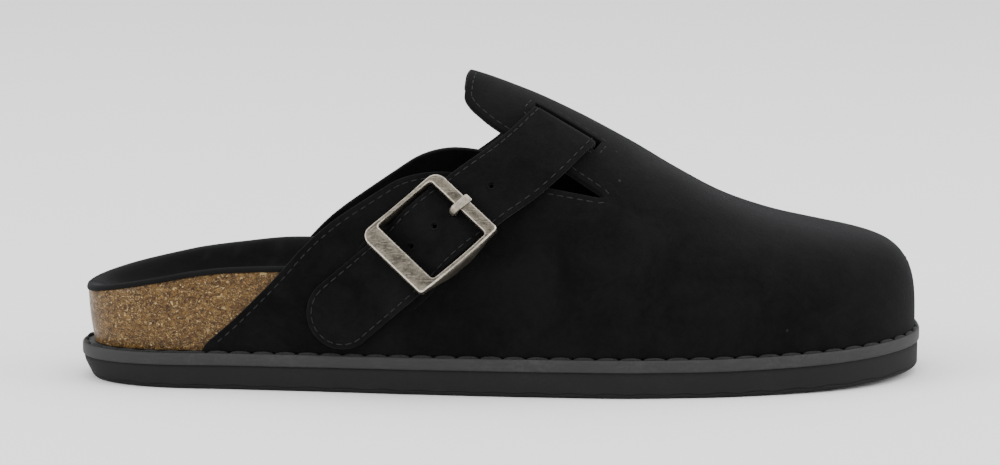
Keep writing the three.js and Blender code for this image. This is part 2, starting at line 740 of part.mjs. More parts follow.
// Strap: a ribbon with a round free end, drawn flat, bored, then laid on the upper
function strap() {
  const radius = STRAP_WIDTH / 2;
  const ends = Array.from({ length: STRAP_END_STEPS }, (_, i) => (
    radius * (1 - Math.cos((Math.PI * (i + 0.5)) / (2 * STRAP_END_STEPS)))
  ));
  const inner = Math.round((STRAP_END - STRAP_START - radius) / STRAP_STEP);
  const runs = [
    ...ends.map((reach) => STRAP_START + reach),
    ...Array.from({ length: inner }, (_, i) => lerp(STRAP_START + radius, STRAP_END, (i + 1) / inner)),
  ];
  const lanes = [-1, -0.5, 0, 0.5, 1];
  const positions = [];
  runs.forEach((run) => {
    const reach = Math.min(radius, run - STRAP_START);
    const half = Math.sqrt(reach * (2 * radius - reach));
    const lift = strapLift(run);
    lanes.forEach((lane) => positions.push(run, lane * half, lift));
    [...lanes].reverse().forEach((lane) => positions.push(run, lane * half, lift + STRAP_THICKNESS));
  });
  const loop = 2 * lanes.length;
  const faces = [];
  for (let i = 0; i + 1 < runs.length; i += 1) {
    for (let j = 0; j < loop; j += 1) {
      const a = i * loop + j;
      const b = i * loop + ((j + 1) % loop);
      faces.push(a, b, b + loop, a, b + loop, a + loop);
    }
  }
  const closeEnd = (start, flip) => {
    for (let j = 0; j + 1 < lanes.length; j += 1) {
      const quad = [start + j, start + j + 1, start + loop - 2 - j, start + loop - 1 - j];
      const [a, b, c, d] = flip ? quad.reverse() : quad;
      faces.push(a, b, c, a, c, d);
    }
  };
  closeEnd(0, true);
  closeEnd((runs.length - 1) * loop, false);
  const reach = humpLift + 2 * STRAP_THICKNESS;
  const holes = HOLE_PLACES.map((run) => new THREE.CylinderGeometry(
    HOLE_DIAMETER / 2,
    HOLE_DIAMETER / 2,
    2 * reach,
    BORE_STEPS,
  ).rotateX(Math.PI / 2).translate(run, 0, 0));
  const prongHole = new THREE.BoxGeometry(
    PRONG_HOLE_LENGTH,
    PRONG_WIDTH + 2 * PRONG_SIDE_CLEARANCE,
    2 * reach,
  ).translate((PRONG_HOLE_START + PRONG_HOLE_END) / 2, 0, 0);
  return laid(cut(solidGeometry(positions, faces), [...holes, prongHole]));
}

// The passages of the strap through the upper: the slot in the tongue and the inner notch
function strapPassage(place) {
  const lowest = underTongue - STRAP_REST;
  const box = new THREE.BoxGeometry(
    SLOT_WIDTH,
    STRAP_WIDTH + 2 * SLOT_CLEARANCE,
    2 * Math.abs(lowest),
    2,
    6,
    1,
  );
  return laid(box.translate(place, 0, 0));
}

function upper() {
  return cut(upperShell(), [
    collarCutter(OUTER_QUARTER, OUTER_TONGUE, true),
    collarCutter(INNER_QUARTER, INNER_TONGUE, false),
    strapPassage(SLOT_PLACE),
    strapPassage(NOTCH_PLACE),
  ]);
}

// Points round a rectangle with round corners, close enough together to bend.
function roundedLoop(left, right, half, corner) {
  const centres = [
    [right - corner, half - corner, 0],
    [left + corner, half - corner, Math.PI / 2],
    [left + corner, corner - half, Math.PI],
    [right - corner, corner - half, Math.PI * 1.5],
  ];
  const arcs = centres.map(([x, y, start]) => [0, 0.5, 1].map((t) => new THREE.Vector2(
    x + corner * Math.cos(start + (t * Math.PI) / 2),
    y + corner * Math.sin(start + (t * Math.PI) / 2),
  )));
  return arcs.flatMap((arc, i) => {
    const from = arc[2];
    const to = arcs[(i + 1) % 4][0];
    const pieces = Math.round(from.distanceTo(to) / BAR_STEP);
    const side = Array.from({ length: pieces - 1 }, (_, k) => from.clone().lerp(to, (k + 1) / pieces));
    return [...arc, ...side];
  });
}

// Buckle frame: flat bars front and back over the strap, side bars that dip to the hinge bar
function buckleFrame() {
  const back = -FRAME_LENGTH / 2;
  const front = FRAME_LENGTH / 2;
  const windowHalf = FRAME_WIDTH / 2 - SIDE_BAR;
  const shrink = FRAME_BEVEL;
  const shape = new THREE.Shape(roundedLoop(
    back + shrink,
    front - shrink,
    FRAME_WIDTH / 2 - shrink,
    FRAME_CORNER,
  ));
  shape.holes.push(new THREE.Path(roundedLoop(
    back + BACK_BAR - shrink,
    front - FRONT_BAR + shrink,
    windowHalf + shrink,
    FRAME_CORNER,
  ).reverse()));
  const frame = new THREE.ExtrudeGeometry(shape, {
    depth: FRAME_DEPTH - 2 * FRAME_BEVEL,
    bevelThickness: FRAME_BEVEL,
    bevelSize: FRAME_BEVEL,
    bevelSegments: 2,
  }).translate(0, 0, FRAME_BEVEL);
  const dipEnd = front - FRONT_BAR - FRAME_CORNER;
  const plain = plainCopy(frame);
  const position = plain.attributes.position;
  for (let k = 0; k < position.count; k += 1) {
    const share = position.getZ(k) / FRAME_DEPTH;
    const dip = SIDE_BAR_DROP * (1 - smoothstep(Math.abs(position.getX(k)), loopOuter, dipEnd));
    position.setZ(k, FRAME_LIFT + FRAME_DEPTH * share - dip * lerp(1, TOP_DIP_SHARE, share));
  }
  const bore = new THREE.CylinderGeometry(loopInner, loopInner, FRAME_WIDTH - SIDE_BAR, BORE_STEPS)
    .translate(0, 0, hingeHeight);
  return laid(cut(plain, [bore]));
}

function hingeBar() {
  const length = FRAME_WIDTH - SIDE_BAR - 2 * SEAM_GAP;
  const bar = new THREE.CylinderGeometry(HINGE_DIAMETER / 2, HINGE_DIAMETER / 2, length, BORE_STEPS, 6);
  return laid(bar.translate(0, 0, hingeHeight));
}

// A side profile, drawn in run and lift, given a width across the strap.
function acrossStrap(shape, width, steps) {
  const block = new THREE.ExtrudeGeometry(shape, { depth: width, steps, bevelEnabled: false, curveSegments: 8 });
  return block.rotateX(Math.PI / 2).translate(0, width / 2, 0);
}

// Tab: lies on the quarter, folds round the hinge bar and is sewn down behind it
function buckleTab() {
  const single = SEAM_GAP + TAB_THICKNESS;
  const profile = new THREE.Shape();
  profile.moveTo(-TAB_LENGTH, SEAM_GAP);
  for (let run = -TAB_LENGTH + WALK_STEP; run < -WALK_STEP; run += WALK_STEP) {
    profile.lineTo(run, SEAM_GAP);
  }
  profile.absarc(0, hingeHeight, loopOuter, -Math.PI / 2, Math.PI / 2, false);
  profile.lineTo(-TAB_FOLD_LENGTH / 2, lerp(hingeHeight + loopOuter, single + TAB_THICKNESS, TAB_FOLD_RISE));
  profile.lineTo(-TAB_FOLD_LENGTH, single + TAB_THICKNESS);
  profile.lineTo(-TAB_NECK_START - TAB_THICKNESS, single);
  for (let run = -TAB_NECK_START - 2 * WALK_STEP; run > -TAB_LENGTH; run -= WALK_STEP) {
    profile.lineTo(run, single);
  }
  profile.lineTo(-TAB_LENGTH, single);
  const eye = new THREE.Path();
  eye.absarc(0, hingeHeight, loopInner, 0, 2 * Math.PI, true);
  profile.holes.push(eye);
  const body = acrossStrap(profile, TAB_WIDTH, 8);
  const neckLength = TAB_NECK_START + 2 * loopOuter;
  const trim = (TAB_WIDTH - TAB_NECK_WIDTH) / 2;
  const trims = [-1, 1].map((side) => new THREE.BoxGeometry(neckLength, 2 * trim, 2 * humpLift)
    .translate(neckLength / 2 - TAB_NECK_START, (side * TAB_WIDTH) / 2, 0));
  const slot = new THREE.BoxGeometry(4 * loopOuter, PRONG_WIDTH + 2 * PRONG_SIDE_CLEARANCE, 2 * humpLift)
    .translate(loopInner + TAB_THICKNESS / 2, 0, humpLift + TAB_THICKNESS / 2);
  return laid(cut(body, [...trims, slot]));
}

// Prong: an eye round the hinge bar, a shank under the strap, and a nose through the hole
// that lies over the front bar
function buckleProng() {
  const eye = loopInner + PRONG_EYE_WALL;
  const half = PRONG_THICKNESS / 2;
  const under = strapLift(PRONG_HOLE_START) - SEAM_GAP - PRONG_THICKNESS;
  const over = FRAME_LIFT + FRAME_DEPTH + SEAM_GAP;
  const hole = (PRONG_HOLE_START + PRONG_HOLE_END) / 2;
  const shape = new THREE.Shape();
  const eyePoint = (step) => {
    const angle = Math.PI * lerp(PRONG_EYE_ARC.from, PRONG_EYE_ARC.to, step / BORE_STEPS);
    return [eye * Math.cos(angle), hingeHeight + eye * Math.sin(angle)];
  };
  shape.moveTo(...eyePoint(BORE_STEPS));
  shape.lineTo(PRONG_HOLE_START - half, under);
  shape.lineTo(PRONG_HOLE_START + PRONG_THICKNESS, under + half);
  shape.lineTo(hole + half, under + 2 * PRONG_THICKNESS);
  shape.lineTo(PRONG_HOLE_END - SEAM_GAP, over - half);
  shape.lineTo(PRONG_HOLE_END + half, over);
  shape.lineTo(PRONG_TIP, over);
  shape.lineTo(PRONG_TIP + half, over + half);
  shape.lineTo(PRONG_TIP, over + PRONG_THICKNESS);
  shape.lineTo(hole + half, over + PRONG_THICKNESS);
  shape.lineTo(hole - half / 2, over);
  shape.lineTo(PRONG_HOLE_START + SEAM_GAP + half, under + 2 * PRONG_THICKNESS);
  shape.lineTo(PRONG_HOLE_START - SEAM_GAP, under + PRONG_THICKNESS);
  for (let k = 0; k < BORE_STEPS; k += 1) shape.lineTo(...eyePoint(k));
  const bore = new THREE.Path();
  bore.absarc(0, hingeHeight, loopInner, 0, 2 * Math.PI, true);
  shape.holes.push(bore);
  return laid(acrossStrap(shape, PRONG_WIDTH, 1));
}

// Assembly, centred over its own footprint
const suede = { color: 0x141417, roughness: 0.95, metalness: 0 };
const nickel = { color: 0x8f8b84, roughness: 0.35, metalness: 1 };
const PIECES = [
  { name: 'outsole', make: outsole, look: { color: 0x1b1b1c, roughness: 0.8, metalness: 0 } },
  { name: 'welt', make: welt, look: { color: 0x3c3c3c, roughness: 0.7, metalness: 0 } },
  { name: 'cork_footbed', make: corkFootbed, look: { color: 0xb08a58, roughness: 0.7, metalness: 0 } },
  { name: 'insole', make: insole, look: suede },
  { name: 'upper', make: upper, look: suede },
  { name: 'strap', make: strap, look: suede },
  { name: 'buckle_frame', make: buckleFrame, look: nickel },
  { name: 'buckle_prong', make: buckleProng, look: nickel },
  { name: 'buckle_hinge_bar', make: hingeBar, look: nickel },
  { name: 'buckle_tab', make: buckleTab, look: suede },
];

const group = new THREE.Group();
PIECES.forEach(({ name, make, look }) => {
  const geometry = make();
  geometry.computeVertexNormals();
  const mesh = new THREE.Mesh(geometry, new THREE.MeshStandardMaterial(look));
  mesh.name = name;
  group.add(mesh);
});
const footprint = new THREE.Box3().setFromObject(group).getCenter(new THREE.Vector3());
group.position.set(-footprint.x, -footprint.y, 0);

export default group;
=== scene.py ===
import math

import bmesh
import bpy
import numpy as np
from mathutils import Matrix, Vector


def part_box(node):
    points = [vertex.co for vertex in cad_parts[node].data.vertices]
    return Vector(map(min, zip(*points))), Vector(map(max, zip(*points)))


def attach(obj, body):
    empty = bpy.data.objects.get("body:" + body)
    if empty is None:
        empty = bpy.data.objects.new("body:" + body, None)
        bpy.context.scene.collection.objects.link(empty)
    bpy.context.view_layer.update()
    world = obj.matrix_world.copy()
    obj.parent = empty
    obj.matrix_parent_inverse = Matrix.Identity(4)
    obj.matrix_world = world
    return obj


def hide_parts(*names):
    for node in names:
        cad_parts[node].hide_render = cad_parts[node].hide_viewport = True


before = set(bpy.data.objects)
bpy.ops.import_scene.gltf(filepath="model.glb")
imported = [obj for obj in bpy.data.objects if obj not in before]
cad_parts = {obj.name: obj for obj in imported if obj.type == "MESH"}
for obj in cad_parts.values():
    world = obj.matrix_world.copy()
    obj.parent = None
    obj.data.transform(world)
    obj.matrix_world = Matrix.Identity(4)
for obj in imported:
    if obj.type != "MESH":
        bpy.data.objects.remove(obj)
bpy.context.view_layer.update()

bl_info = {
    "name": "Suede Clog",
    "version": (1, 0, 0),
    "blender": (4, 5, 0),
    "location": "3D View > Sidebar > Clog",
    "description": "Builds a right-foot suede clog with a cork footbed and one buckled strap",
    "category": "Add Mesh",
}

# The shoe is worked out in its own millimetres: x from heel to toe, -y to the outer side.
MM = 0.001
BODY = "root"
LENGTH = 285.0
BALL_WIDTH = 104.0
INSTEP = 90.2
GAP = 0.3
OUTSOLE_THICKNESS = 8.6
WELT_THICKNESS = 4.0
HEEL_DROP = 0.85
HEEL_DROP_END = 0.6
TOE_SPRING = 2.3
TOE_SPRING_START = 0.72
HEEL_CAP = (43.9, 2.2)
TOE_CAP = (66.4, 2.7)
CENTRE_SHIFT = (1.0, 10.0)
HEEL_TAPER = 2.8
HEEL_TAPER_END = 0.14
SOLE_STEP = 0.9
RIM_HEIGHT = 27.0
RIM_FLARE = 1.9
RIM_FLARE_END = 0.17
RIM_ROUND = 1.1
RIM_WIDTH = 3.4
RIM_SLOPE_WIDTH = 8.0
INNER_RIM_RISE = 0.4
FOOTBED_CLEARANCE = 0.6
LINING = 1.2
UPPER_WALL = 2.3
LEDGE = 1.6
TOE_LEAN_START = 0.62
SHELL_START = 0.115
STRAP_WIDTH = 24.0
STRAP_THICKNESS = 2.8
STRAP_REST = 0.5
HOLES = ((-7.6, 1.5), (2.3, 0.7), (24.6, 0.1))
PRONG_HOLE = (8.0, 12.0)
SLOT_WIDTH = 7.0
SLOT_CLEARANCE = 0.7
FRAME_LENGTH = 34.2
FRAME_WIDTH = 28.6
FRONT_BAR = 4.3
BACK_BAR = 6.5
SIDE_BAR = 1.5
FRAME_DEPTH = 3.2
FRAME_LIFT = 6.4
HINGE_RADIUS = 1.0
TAB_THICKNESS = 1.0
TAB_LENGTH = 24.0
TAB_WIDTH = 28.0
TAB_NECK = (12.0, 23.4)
PRONG_WIDTH = 3.4
PRONG_THICKNESS = 1.5
PRONG_TIP = 17.2
BUCKLE_ROLL = math.radians(9)
WALK_STEP = 2.5
HALF_PI = math.pi / 2
TAU = math.tau

# Sole outline: share of the length, and the outer and inner reach as shares of the ball width.
OUTLINE = (
    (0.0, 0.288, 0.322), (0.12, 0.284, 0.322), (0.25, 0.332, 0.324), (0.4, 0.409, 0.334),
    (0.55, 0.471, 0.392), (0.65, 0.498, 0.452), (0.73, 0.488, 0.49), (0.82, 0.447, 0.5),
    (0.92, 0.399, 0.476), (1.0, 0.337, 0.433),
)
# Crest of the upper: share of the length, height, shift to the inner side, squareness.
CREST = (
    (0.1, 1.1, 0.03, 1.9), (0.3, 1.09, 0.032, 1.86), (0.4, 1.045, 0.034, 1.84),
    (0.465, 1.0, 0.035, 1.84), (0.528, 0.926, 0.046, 1.9), (0.588, 0.834, 0.058, 2.0),
    (0.647, 0.731, 0.066, 2.14), (0.707, 0.619, 0.074, 2.32), (0.767, 0.514, 0.082, 2.56),
    (0.81, 0.46, 0.088, 2.76), (0.85, 0.423, 0.089, 3.0), (0.9, 0.392, 0.09, 3.3),
    (0.95, 0.375, 0.09, 3.65), (1.0, 0.37, 0.09, 4.0),
)
# Footbed: share of the length, rim and floor heights as shares of the rim height.
FOOTBED = (
    (0.0, 0.66, 0.52), (0.05, 0.765, 0.55), (0.1, 0.86, 0.57), (0.14, 0.935, 0.59),
    (0.185, 0.995, 0.62), (0.25, 1.05, 0.67), (0.32, 1.02, 0.67), (0.42, 0.82, 0.61),
    (0.55, 0.53, 0.44), (0.65, 0.42, 0.34), (0.8, 0.38, 0.31), (1.0, 0.4, 0.36),
)
# Collar seen from the side: share of the length, height over the welt over the instep height.
OUTER_QUARTER = (
    (0.146, -0.05), (0.148, 0.01), (0.181, 0.104), (0.229, 0.256), (0.264, 0.379),
    (0.285, 0.442), (0.311, 0.506), (0.358, 0.601), (0.38, 0.64), (0.409, 0.662),
    (0.441, 0.664), (0.497, 0.638), (0.552, 0.609), (0.616, 0.57),
)
OUTER_TONGUE = (
    (0.616, 0.577), (0.572, 0.666), (0.532, 0.74), (0.491, 0.817), (0.474, 0.858),
    (0.464, 0.885), (0.457, 0.918), (0.4575, 0.945), (0.4595, 0.98), (0.4655, 1.012),
    (0.476, 1.06),
)
INNER_QUARTER = (
    (0.17, -0.05), (0.172, 0.01), (0.204, 0.104), (0.248, 0.256), (0.284, 0.379),
    (0.307, 0.442), (0.335, 0.506), (0.378, 0.6), (0.4, 0.645), (0.426, 0.673),
    (0.456, 0.677), (0.502, 0.65), (0.552, 0.615), (0.616, 0.572),
)
INNER_TONGUE = (
    (0.616, 0.582), (0.572, 0.685), (0.532, 0.76), (0.491, 0.832), (0.474, 0.866),
    (0.464, 0.888), (0.457, 0.918), (0.4575, 0.945), (0.4595, 0.98), (0.4655, 1.012),
    (0.476, 1.06),
)
# Middle of the strap: share of the length, and turn from outer welt 0 over crest 1 to inner 2.
STRAP_LINE = (
    (0.282, 0.04), (0.338, 0.133), (0.38, 0.205), (0.418, 0.287), (0.454, 0.364),
    (0.486, 0.436), (0.513, 0.504), (0.54, 0.595), (0.562, 0.7), (0.574, 0.78),
    (0.585, 0.89), (0.589, 1.0), (0.586, 1.12), (0.574, 1.26), (0.557, 1.38),
    (0.543, 1.455), (0.52, 1.54), (0.489, 1.62), (0.455, 1.7), (0.42, 1.78),
)
BUCKLE_ROW = 3
SLOT_ROW = 9
NOTCH_ROW = 15
STRAP_SAMPLES = 240
# Lift of the strap over the buckle: run over the frame length, share of the full lift.
STRAP_HUMP = (
    (-1.45, 0), (-0.87, 0.06), (-0.72, 0.22), (-0.58, 0.29), (-0.4, 0.44), (-0.23, 0.7),
    (-0.09, 0.97), (0, 1), (0.09, 0.97), (0.23, 0.79), (0.35, 0.53), (0.52, 0.3),
    (0.75, 0.1), (1.0, 0),
)
# Soft creases of the upper: from and to (share, turn), half width in mm, depth in mm.
CREASES = (
    ((0.64, 0.22), (0.7, 0.62), 9.0, 0.45),
    ((0.6, 0.3), (0.63, 0.72), 7.0, 0.35),
    ((0.7, 0.25), (0.77, 0.58), 8.0, 0.3),
    ((0.46, 0.12), (0.58, 0.2), 9.0, 0.4),
    ((0.36, 0.1), (0.47, 0.06), 7.0, 0.35),
    ((0.63, 1.3), (0.7, 1.75), 9.0, 0.45),
    ((0.45, 1.85), (0.6, 1.8), 9.0, 0.4),
    ((0.57, 0.92), (0.66, 1.05), 12.0, -0.35),
    ((0.86, 0.5), (0.93, 0.3), 12.0, 0.3),
    ((0.88, 1.4), (0.94, 1.7), 12.0, 0.3),
)
TURN_REACH = 80.0
CUT_HALVINGS = 14


def curve(rows):
    """A smooth curve through rows of place and value, with no overshoot between them."""
    x, y = np.array(rows, float).T
    slope = np.diff(y) / np.diff(x)
    tangent = np.empty_like(x)
    tangent[0] = slope[0]
    tangent[-1] = slope[-1]
    product = slope[:-1] * slope[1:]
    total = np.where(product > 0, slope[:-1] + slope[1:], 1)
    tangent[1:-1] = np.where(product > 0, 2 * product / total, 0)

    def value(at):
        at = np.clip(at, x[0], x[-1])
        i = np.clip(np.searchsorted(x, at, side="right") - 1, 0, len(x) - 2)
        width = x[i + 1] - x[i]
        t = (at - x[i]) / width
        rise = t * t * (3 - 2 * t)
        start = width * tangent[i] * t * (1 - t) ** 2
        end = width * tangent[i + 1] * t * t * (1 - t)
        return y[i] + (y[i + 1] - y[i]) * rise + start - end

    return value


def column(rows, index):
    return curve([(row[0], row[index]) for row in rows])


outer_reach = column(OUTLINE, 1)
inner_reach = column(OUTLINE, 2)
crest_height = column(CREST, 1)
crest_shift = column(CREST, 2)
crest_square = column(CREST, 3)
rim_share = column(FOOTBED, 1)
floor_share = column(FOOTBED, 2)
hump_share = curve(STRAP_HUMP)


def mix(a, b, t):
    return a + (b - a) * t


def ease(at, low, high):
    t = np.clip((at - low) / (high - low), 0, 1)
    return t * t * (3 - 2 * t)


def unit(vectors):
    return vectors / np.maximum(np.linalg.norm(vectors, axis=-1, keepdims=True), 1e-12)


def centre_line(along):
    return mix(CENTRE_SHIFT[0], CENTRE_SHIFT[1], along)


def end_round(reach, cap):
    t = np.clip(1 - reach / cap[0], 0, 1)
    return (1 - t ** cap[1]) ** (1 / cap[1])


def outline(angle):
    """The sole's edge, at an angle from 0 at the heel over the outer side to half a turn at the toe."""
    along = (1 - np.cos(angle)) / 2
    x = along * LENGTH
    ends = np.minimum(end_round(x, HEEL_CAP), end_round(LENGTH - x, TOE_CAP))
    reach = BALL_WIDTH * np.where(np.sin(angle) > 0, -outer_reach(along), inner_reach(along))
    middle = centre_line(along)
    return np.stack([x, middle + (reach - middle) * ends], -1)


def rim(angle, inset):
    """The sole's edge set in by a distance."""
    step = 0.01
    along_edge = unit(outline(angle + step) - outline(angle - step))
    inward = np.stack([-along_edge[..., 1], along_edge[..., 0]], -1)
    return outline(angle) + inward * np.expand_dims(np.asarray(inset, float), -1)


def spring(along):
    return TOE_SPRING * np.clip((along - TOE_SPRING_START) / (1 - TOE_SPRING_START), 0, 1) ** 2


def outsole_top(along):
    return OUTSOLE_THICKNESS + spring(along) - HEEL_DROP * np.clip(1 - along / HEEL_DROP_END, 0, 1)


def welt_top(along):
    return outsole_top(along) + GAP + WELT_THICKNESS


def seat(along):
    return welt_top(along) + GAP


def toe_lean(along):
    t = np.clip((along - TOE_LEAN_START) / (1 - TOE_LEAN_START), 0, 1)
    return np.where(along < TOE_LEAN_START, along, TOE_LEAN_START + (1 - TOE_LEAN_START) * (t - t * t / 2))


def upper_point(along, turn):
    """The upper's outer face, at a share of the length and a turn round the section."""
    place = np.clip(along, 0, 1)
    outer_side = turn <= 1
    sweep = np.where(outer_side, turn, 2 - turn) * HALF_PI
    angle = np.arccos(1 - 2 * place)
    foot = rim(np.where(outer_side, angle, TAU - angle), np.full_like(place, LEDGE))
    crest = toe_lean(place)
    power = crest_square(place)
    radius = (np.abs(np.cos(sweep)) ** power + np.abs(np.sin(sweep)) ** power) ** (-1 / power)
    out = radius * np.cos(sweep)
    rise = radius * np.sin(sweep)
    x = mix(crest * LENGTH, foot[..., 0], out)
    y = mix(crest_shift(crest) * BALL_WIDTH, foot[..., 1], out)
    height = INSTEP * crest_height(x / LENGTH)
    z = mix(seat(place), seat(np.clip(x / LENGTH, 0, 1)), rise) + height * rise
    return np.stack([x, y, z], -1)


def upper_slopes(along, turn):
    step = 0.002
    forward = (upper_point(along + step, turn) - upper_point(along - step, turn)) / (2 * step)
    round_ = (upper_point(along, turn + step) - upper_point(along, turn - step)) / (2 * step)
    return forward, round_, unit(np.cross(forward, round_))


def strap_path():
    """The strap line as a centripetal curve: share, turn and run from the buckle, sampled."""
    points = np.array(STRAP_LINE)
    ends = (2 * points[0] - points[1], 2 * points[-1] - points[-2])
    points = np.vstack([ends[0], points, ends[1]])
    place = np.linspace(0, len(STRAP_LINE) - 1, STRAP_SAMPLES + 1)
    i = np.minimum(place.astype(int), len(STRAP_LINE) - 2)
    t = (place - i)[:, None]
    p0, p1, p2, p3 = (points[i + k] for k in range(4))
    d0, d1, d2 = (np.linalg.norm(b - a, axis=1, keepdims=True) ** 0.5 for a, b in ((p0, p1), (p1, p2), (p2, p3)))
    t1 = d1 * ((p1 - p0) / d0 - (p2 - p0) / (d0 + d1) + (p2 - p1) / d1)
    t2 = d1 * ((p2 - p1) / d1 - (p3 - p1) / (d1 + d2) + (p3 - p2) / d2)
    spots = p1 + t1 * t + (3 * (p2 - p1) - 2 * t1 - t2) * t ** 2 + (2 * (p1 - p2) + t1 + t2) * t ** 3
    skin = upper_point(spots[:, 0], spots[:, 1])
    run = np.concatenate([[0], np.cumsum(np.linalg.norm(np.diff(skin, axis=0), axis=1))])
    return spots, run - run[sample_of(BUCKLE_ROW)]


def sample_of(row):
    return round(row * STRAP_SAMPLES / (len(STRAP_LINE) - 1))


STRAP_SPOTS, STRAP_RUNS = strap_path()
STRAP_START = STRAP_RUNS[0]
STRAP_END = STRAP_RUNS[-1]
SLOT_PLACE = STRAP_RUNS[sample_of(SLOT_ROW)]
NOTCH_PLACE = STRAP_RUNS[sample_of(NOTCH_ROW)]


def strap_place(run):
    return tuple(np.interp(run, STRAP_RUNS, STRAP_SPOTS[:, k]) for k in range(2))


def on_strap(run, across, lift):
    """A point over the upper: run along the strap, across it, and lift off the outer face."""
    run, across, lift = np.broadcast_arrays(*(np.asarray(v, float) for v in (run, across, lift)))
    along, turn = strap_place(run)
    direction = upper_point(*strap_place(run + 1)) - upper_point(*strap_place(run - 1))
    side = unit(np.cross(upper_slopes(along, turn)[2], direction))
    steps = max(1, math.ceil(np.abs(across).max() / WALK_STEP))
    for _ in range(steps):
        forward, round_, _normal = upper_slopes(along, turn)
        ff = (forward * forward).sum(-1)
        fr = (forward * round_).sum(-1)
        rr = (round_ * round_).sum(-1)
        f = (forward * side).sum(-1) * across / steps
        r = (round_ * side).sum(-1) * across / steps
        scale = ff * rr - fr * fr
        along, turn = along + (f * rr - r * fr) / scale, turn + (r * ff - f * fr) / scale
    return upper_point(along, turn) + upper_slopes(along, turn)[2] * lift[..., None]


HINGE_HEIGHT = 2 * GAP + TAB_THICKNESS + HINGE_RADIUS
LOOP_INNER = HINGE_RADIUS + GAP
LOOP_OUTER = LOOP_INNER + TAB_THICKNESS
HUMP_LIFT = HINGE_HEIGHT + LOOP_OUTER + GAP
UNDER_TONGUE = -(UPPER_WALL + STRAP_REST + STRAP_THICKNESS)


def rolled(run, across, lift):
    """The buckle stands prouder on its outer side: it is turned a little about the strap's line."""
    near = 1 - ease(np.abs(run), FRAME_LENGTH * 0.5, FRAME_LENGTH * 1.1)
    return lift - across * math.tan(BUCKLE_ROLL) * near


# The buckle's own plane: its middle on the frame's top, and one millimetre ahead and across.
BUCKLE_CENTRE = np.array((117.97, -45.59, 55.37))
BUCKLE_AHEAD = np.array((0.7433, 0.225, 0.6003))
BUCKLE_ACROSS = np.array((-0.7025, 0.4143, 0.6176))
BUCKLE_UP = unit(np.cross(BUCKLE_AHEAD, BUCKLE_ACROSS))
BAR_REACH = (8.0, 12.0)
BAR_FADE = (16.0, 28.0)
BAR_FOLLOW = 0.5


def over_buckle(points):
    """Height of places in the buckle's own lift, where its frame's top stands at its full lift."""
    return (points - BUCKLE_CENTRE) @ BUCKLE_UP + FRAME_LIFT + FRAME_DEPTH


def laid_on_buckle(run, across, lift):
    flat = np.multiply.outer(run, BUCKLE_AHEAD) + np.multiply.outer(across, BUCKLE_ACROSS)
    return BUCKLE_CENTRE + flat + np.multiply.outer(lift - FRAME_LIFT - FRAME_DEPTH, BUCKLE_UP)


def strap_lift(run, across):
    hump = mix(STRAP_REST, HUMP_LIFT, hump_share(run / FRAME_LENGTH))
    hump = np.maximum(STRAP_REST * 0.7, rolled(run, across, hump))
    room = FRAME_LIFT - over_buckle(on_strap(run, across, 0.0)) - STRAP_THICKNESS - GAP
    away = np.abs(run)
    by_bar = ease(away, *BAR_REACH) * (1 - ease(away, *BAR_FADE))
    follow = np.minimum(room, hump + BAR_FOLLOW * (room - hump))
    hump = np.maximum(STRAP_REST * 0.7, mix(hump, follow, by_bar))
    half = SLOT_WIDTH / 2 + STRAP_REST
    inside = ease(run, SLOT_PLACE - half, SLOT_PLACE + half)
    inside = inside * (1 - ease(run, NOTCH_PLACE - half, NOTCH_PLACE + half))
    return mix(hump, UNDER_TONGUE, inside)


def sole_offset():
    """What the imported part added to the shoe's own places, in millimetres."""
    low = np.array(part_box("welt")[0]) / MM
    edge = outline(np.linspace(0, TAU, 2000))
    return np.array([low[0] - edge[:, 0].min(), low[1] - edge[:, 1].min(), 0])


OFFSET = sole_offset()


def placed(points):
    """Shoe millimetres to scene metres."""
    return (np.asarray(points) + OFFSET) * MM


# Mesh helpers


def skin(points, around=False, along=False):
    """A sheet of quads over a table of points, in shoe millimetres, joined to itself where asked."""
    if around:
        points = np.concatenate([points, points[:, :1]], 1)
    if along:
        points = np.concatenate([points, points[:1]], 0)
    rows, columns = points.shape[:2]
    bm = bmesh.new()
    made = bmesh.ops.create_grid(bm, x_segments=columns - 1, y_segments=rows - 1, size=1)
    for vert, point in zip(made["verts"], placed(points.reshape(-1, 3))):
        vert.co = point
    if around or along:
        bmesh.ops.remove_doubles(bm, verts=bm.verts, dist=1e-7)
    return bm


def close_ends(bm):
    bmesh.ops.holes_fill(bm, edges=[e for e in bm.edges if e.is_boundary], sides=0)


def finished(name, bm, material, replaced=(), sharp=40, outward=True):
    """Turns a bmesh into a piece of the shoe that rides on the body."""
    if not bm.faces:
        raise RuntimeError(f"{name} has no faces")
    if outward:
        bmesh.ops.recalc_face_normals(bm, faces=bm.faces)
    mesh = bpy.data.meshes.new(name)
    bm.to_mesh(mesh)
    bm.free()
    mesh.shade_smooth()
    mesh.set_sharp_from_angle(angle=math.radians(sharp))
    mesh.materials.append(material)
    piece = bpy.data.objects.new(name, mesh)
    bpy.context.scene.collection.objects.link(piece)
    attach(piece, BODY)
    if replaced:
        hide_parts(*replaced)
    return piece


def copies(shape, frames):
    """Joins a small shape at many places, each given as an origin and three axes in millimetres."""
    small = bpy.data.meshes.new("pattern")
    shape.to_mesh(small)
    shape.free()
    bm = bmesh.new()
    for origin, ahead, side, up in frames:
        start = len(bm.verts)
        bm.from_mesh(small)
        bm.verts.ensure_lookup_table()
        matrix = Matrix((ahead, side, up)).transposed().to_4x4()
        matrix.translation = Vector(placed(origin))
        bmesh.ops.transform(bm, matrix=matrix, verts=bm.verts[start:])
    bpy.data.meshes.remove(small)
    return bm


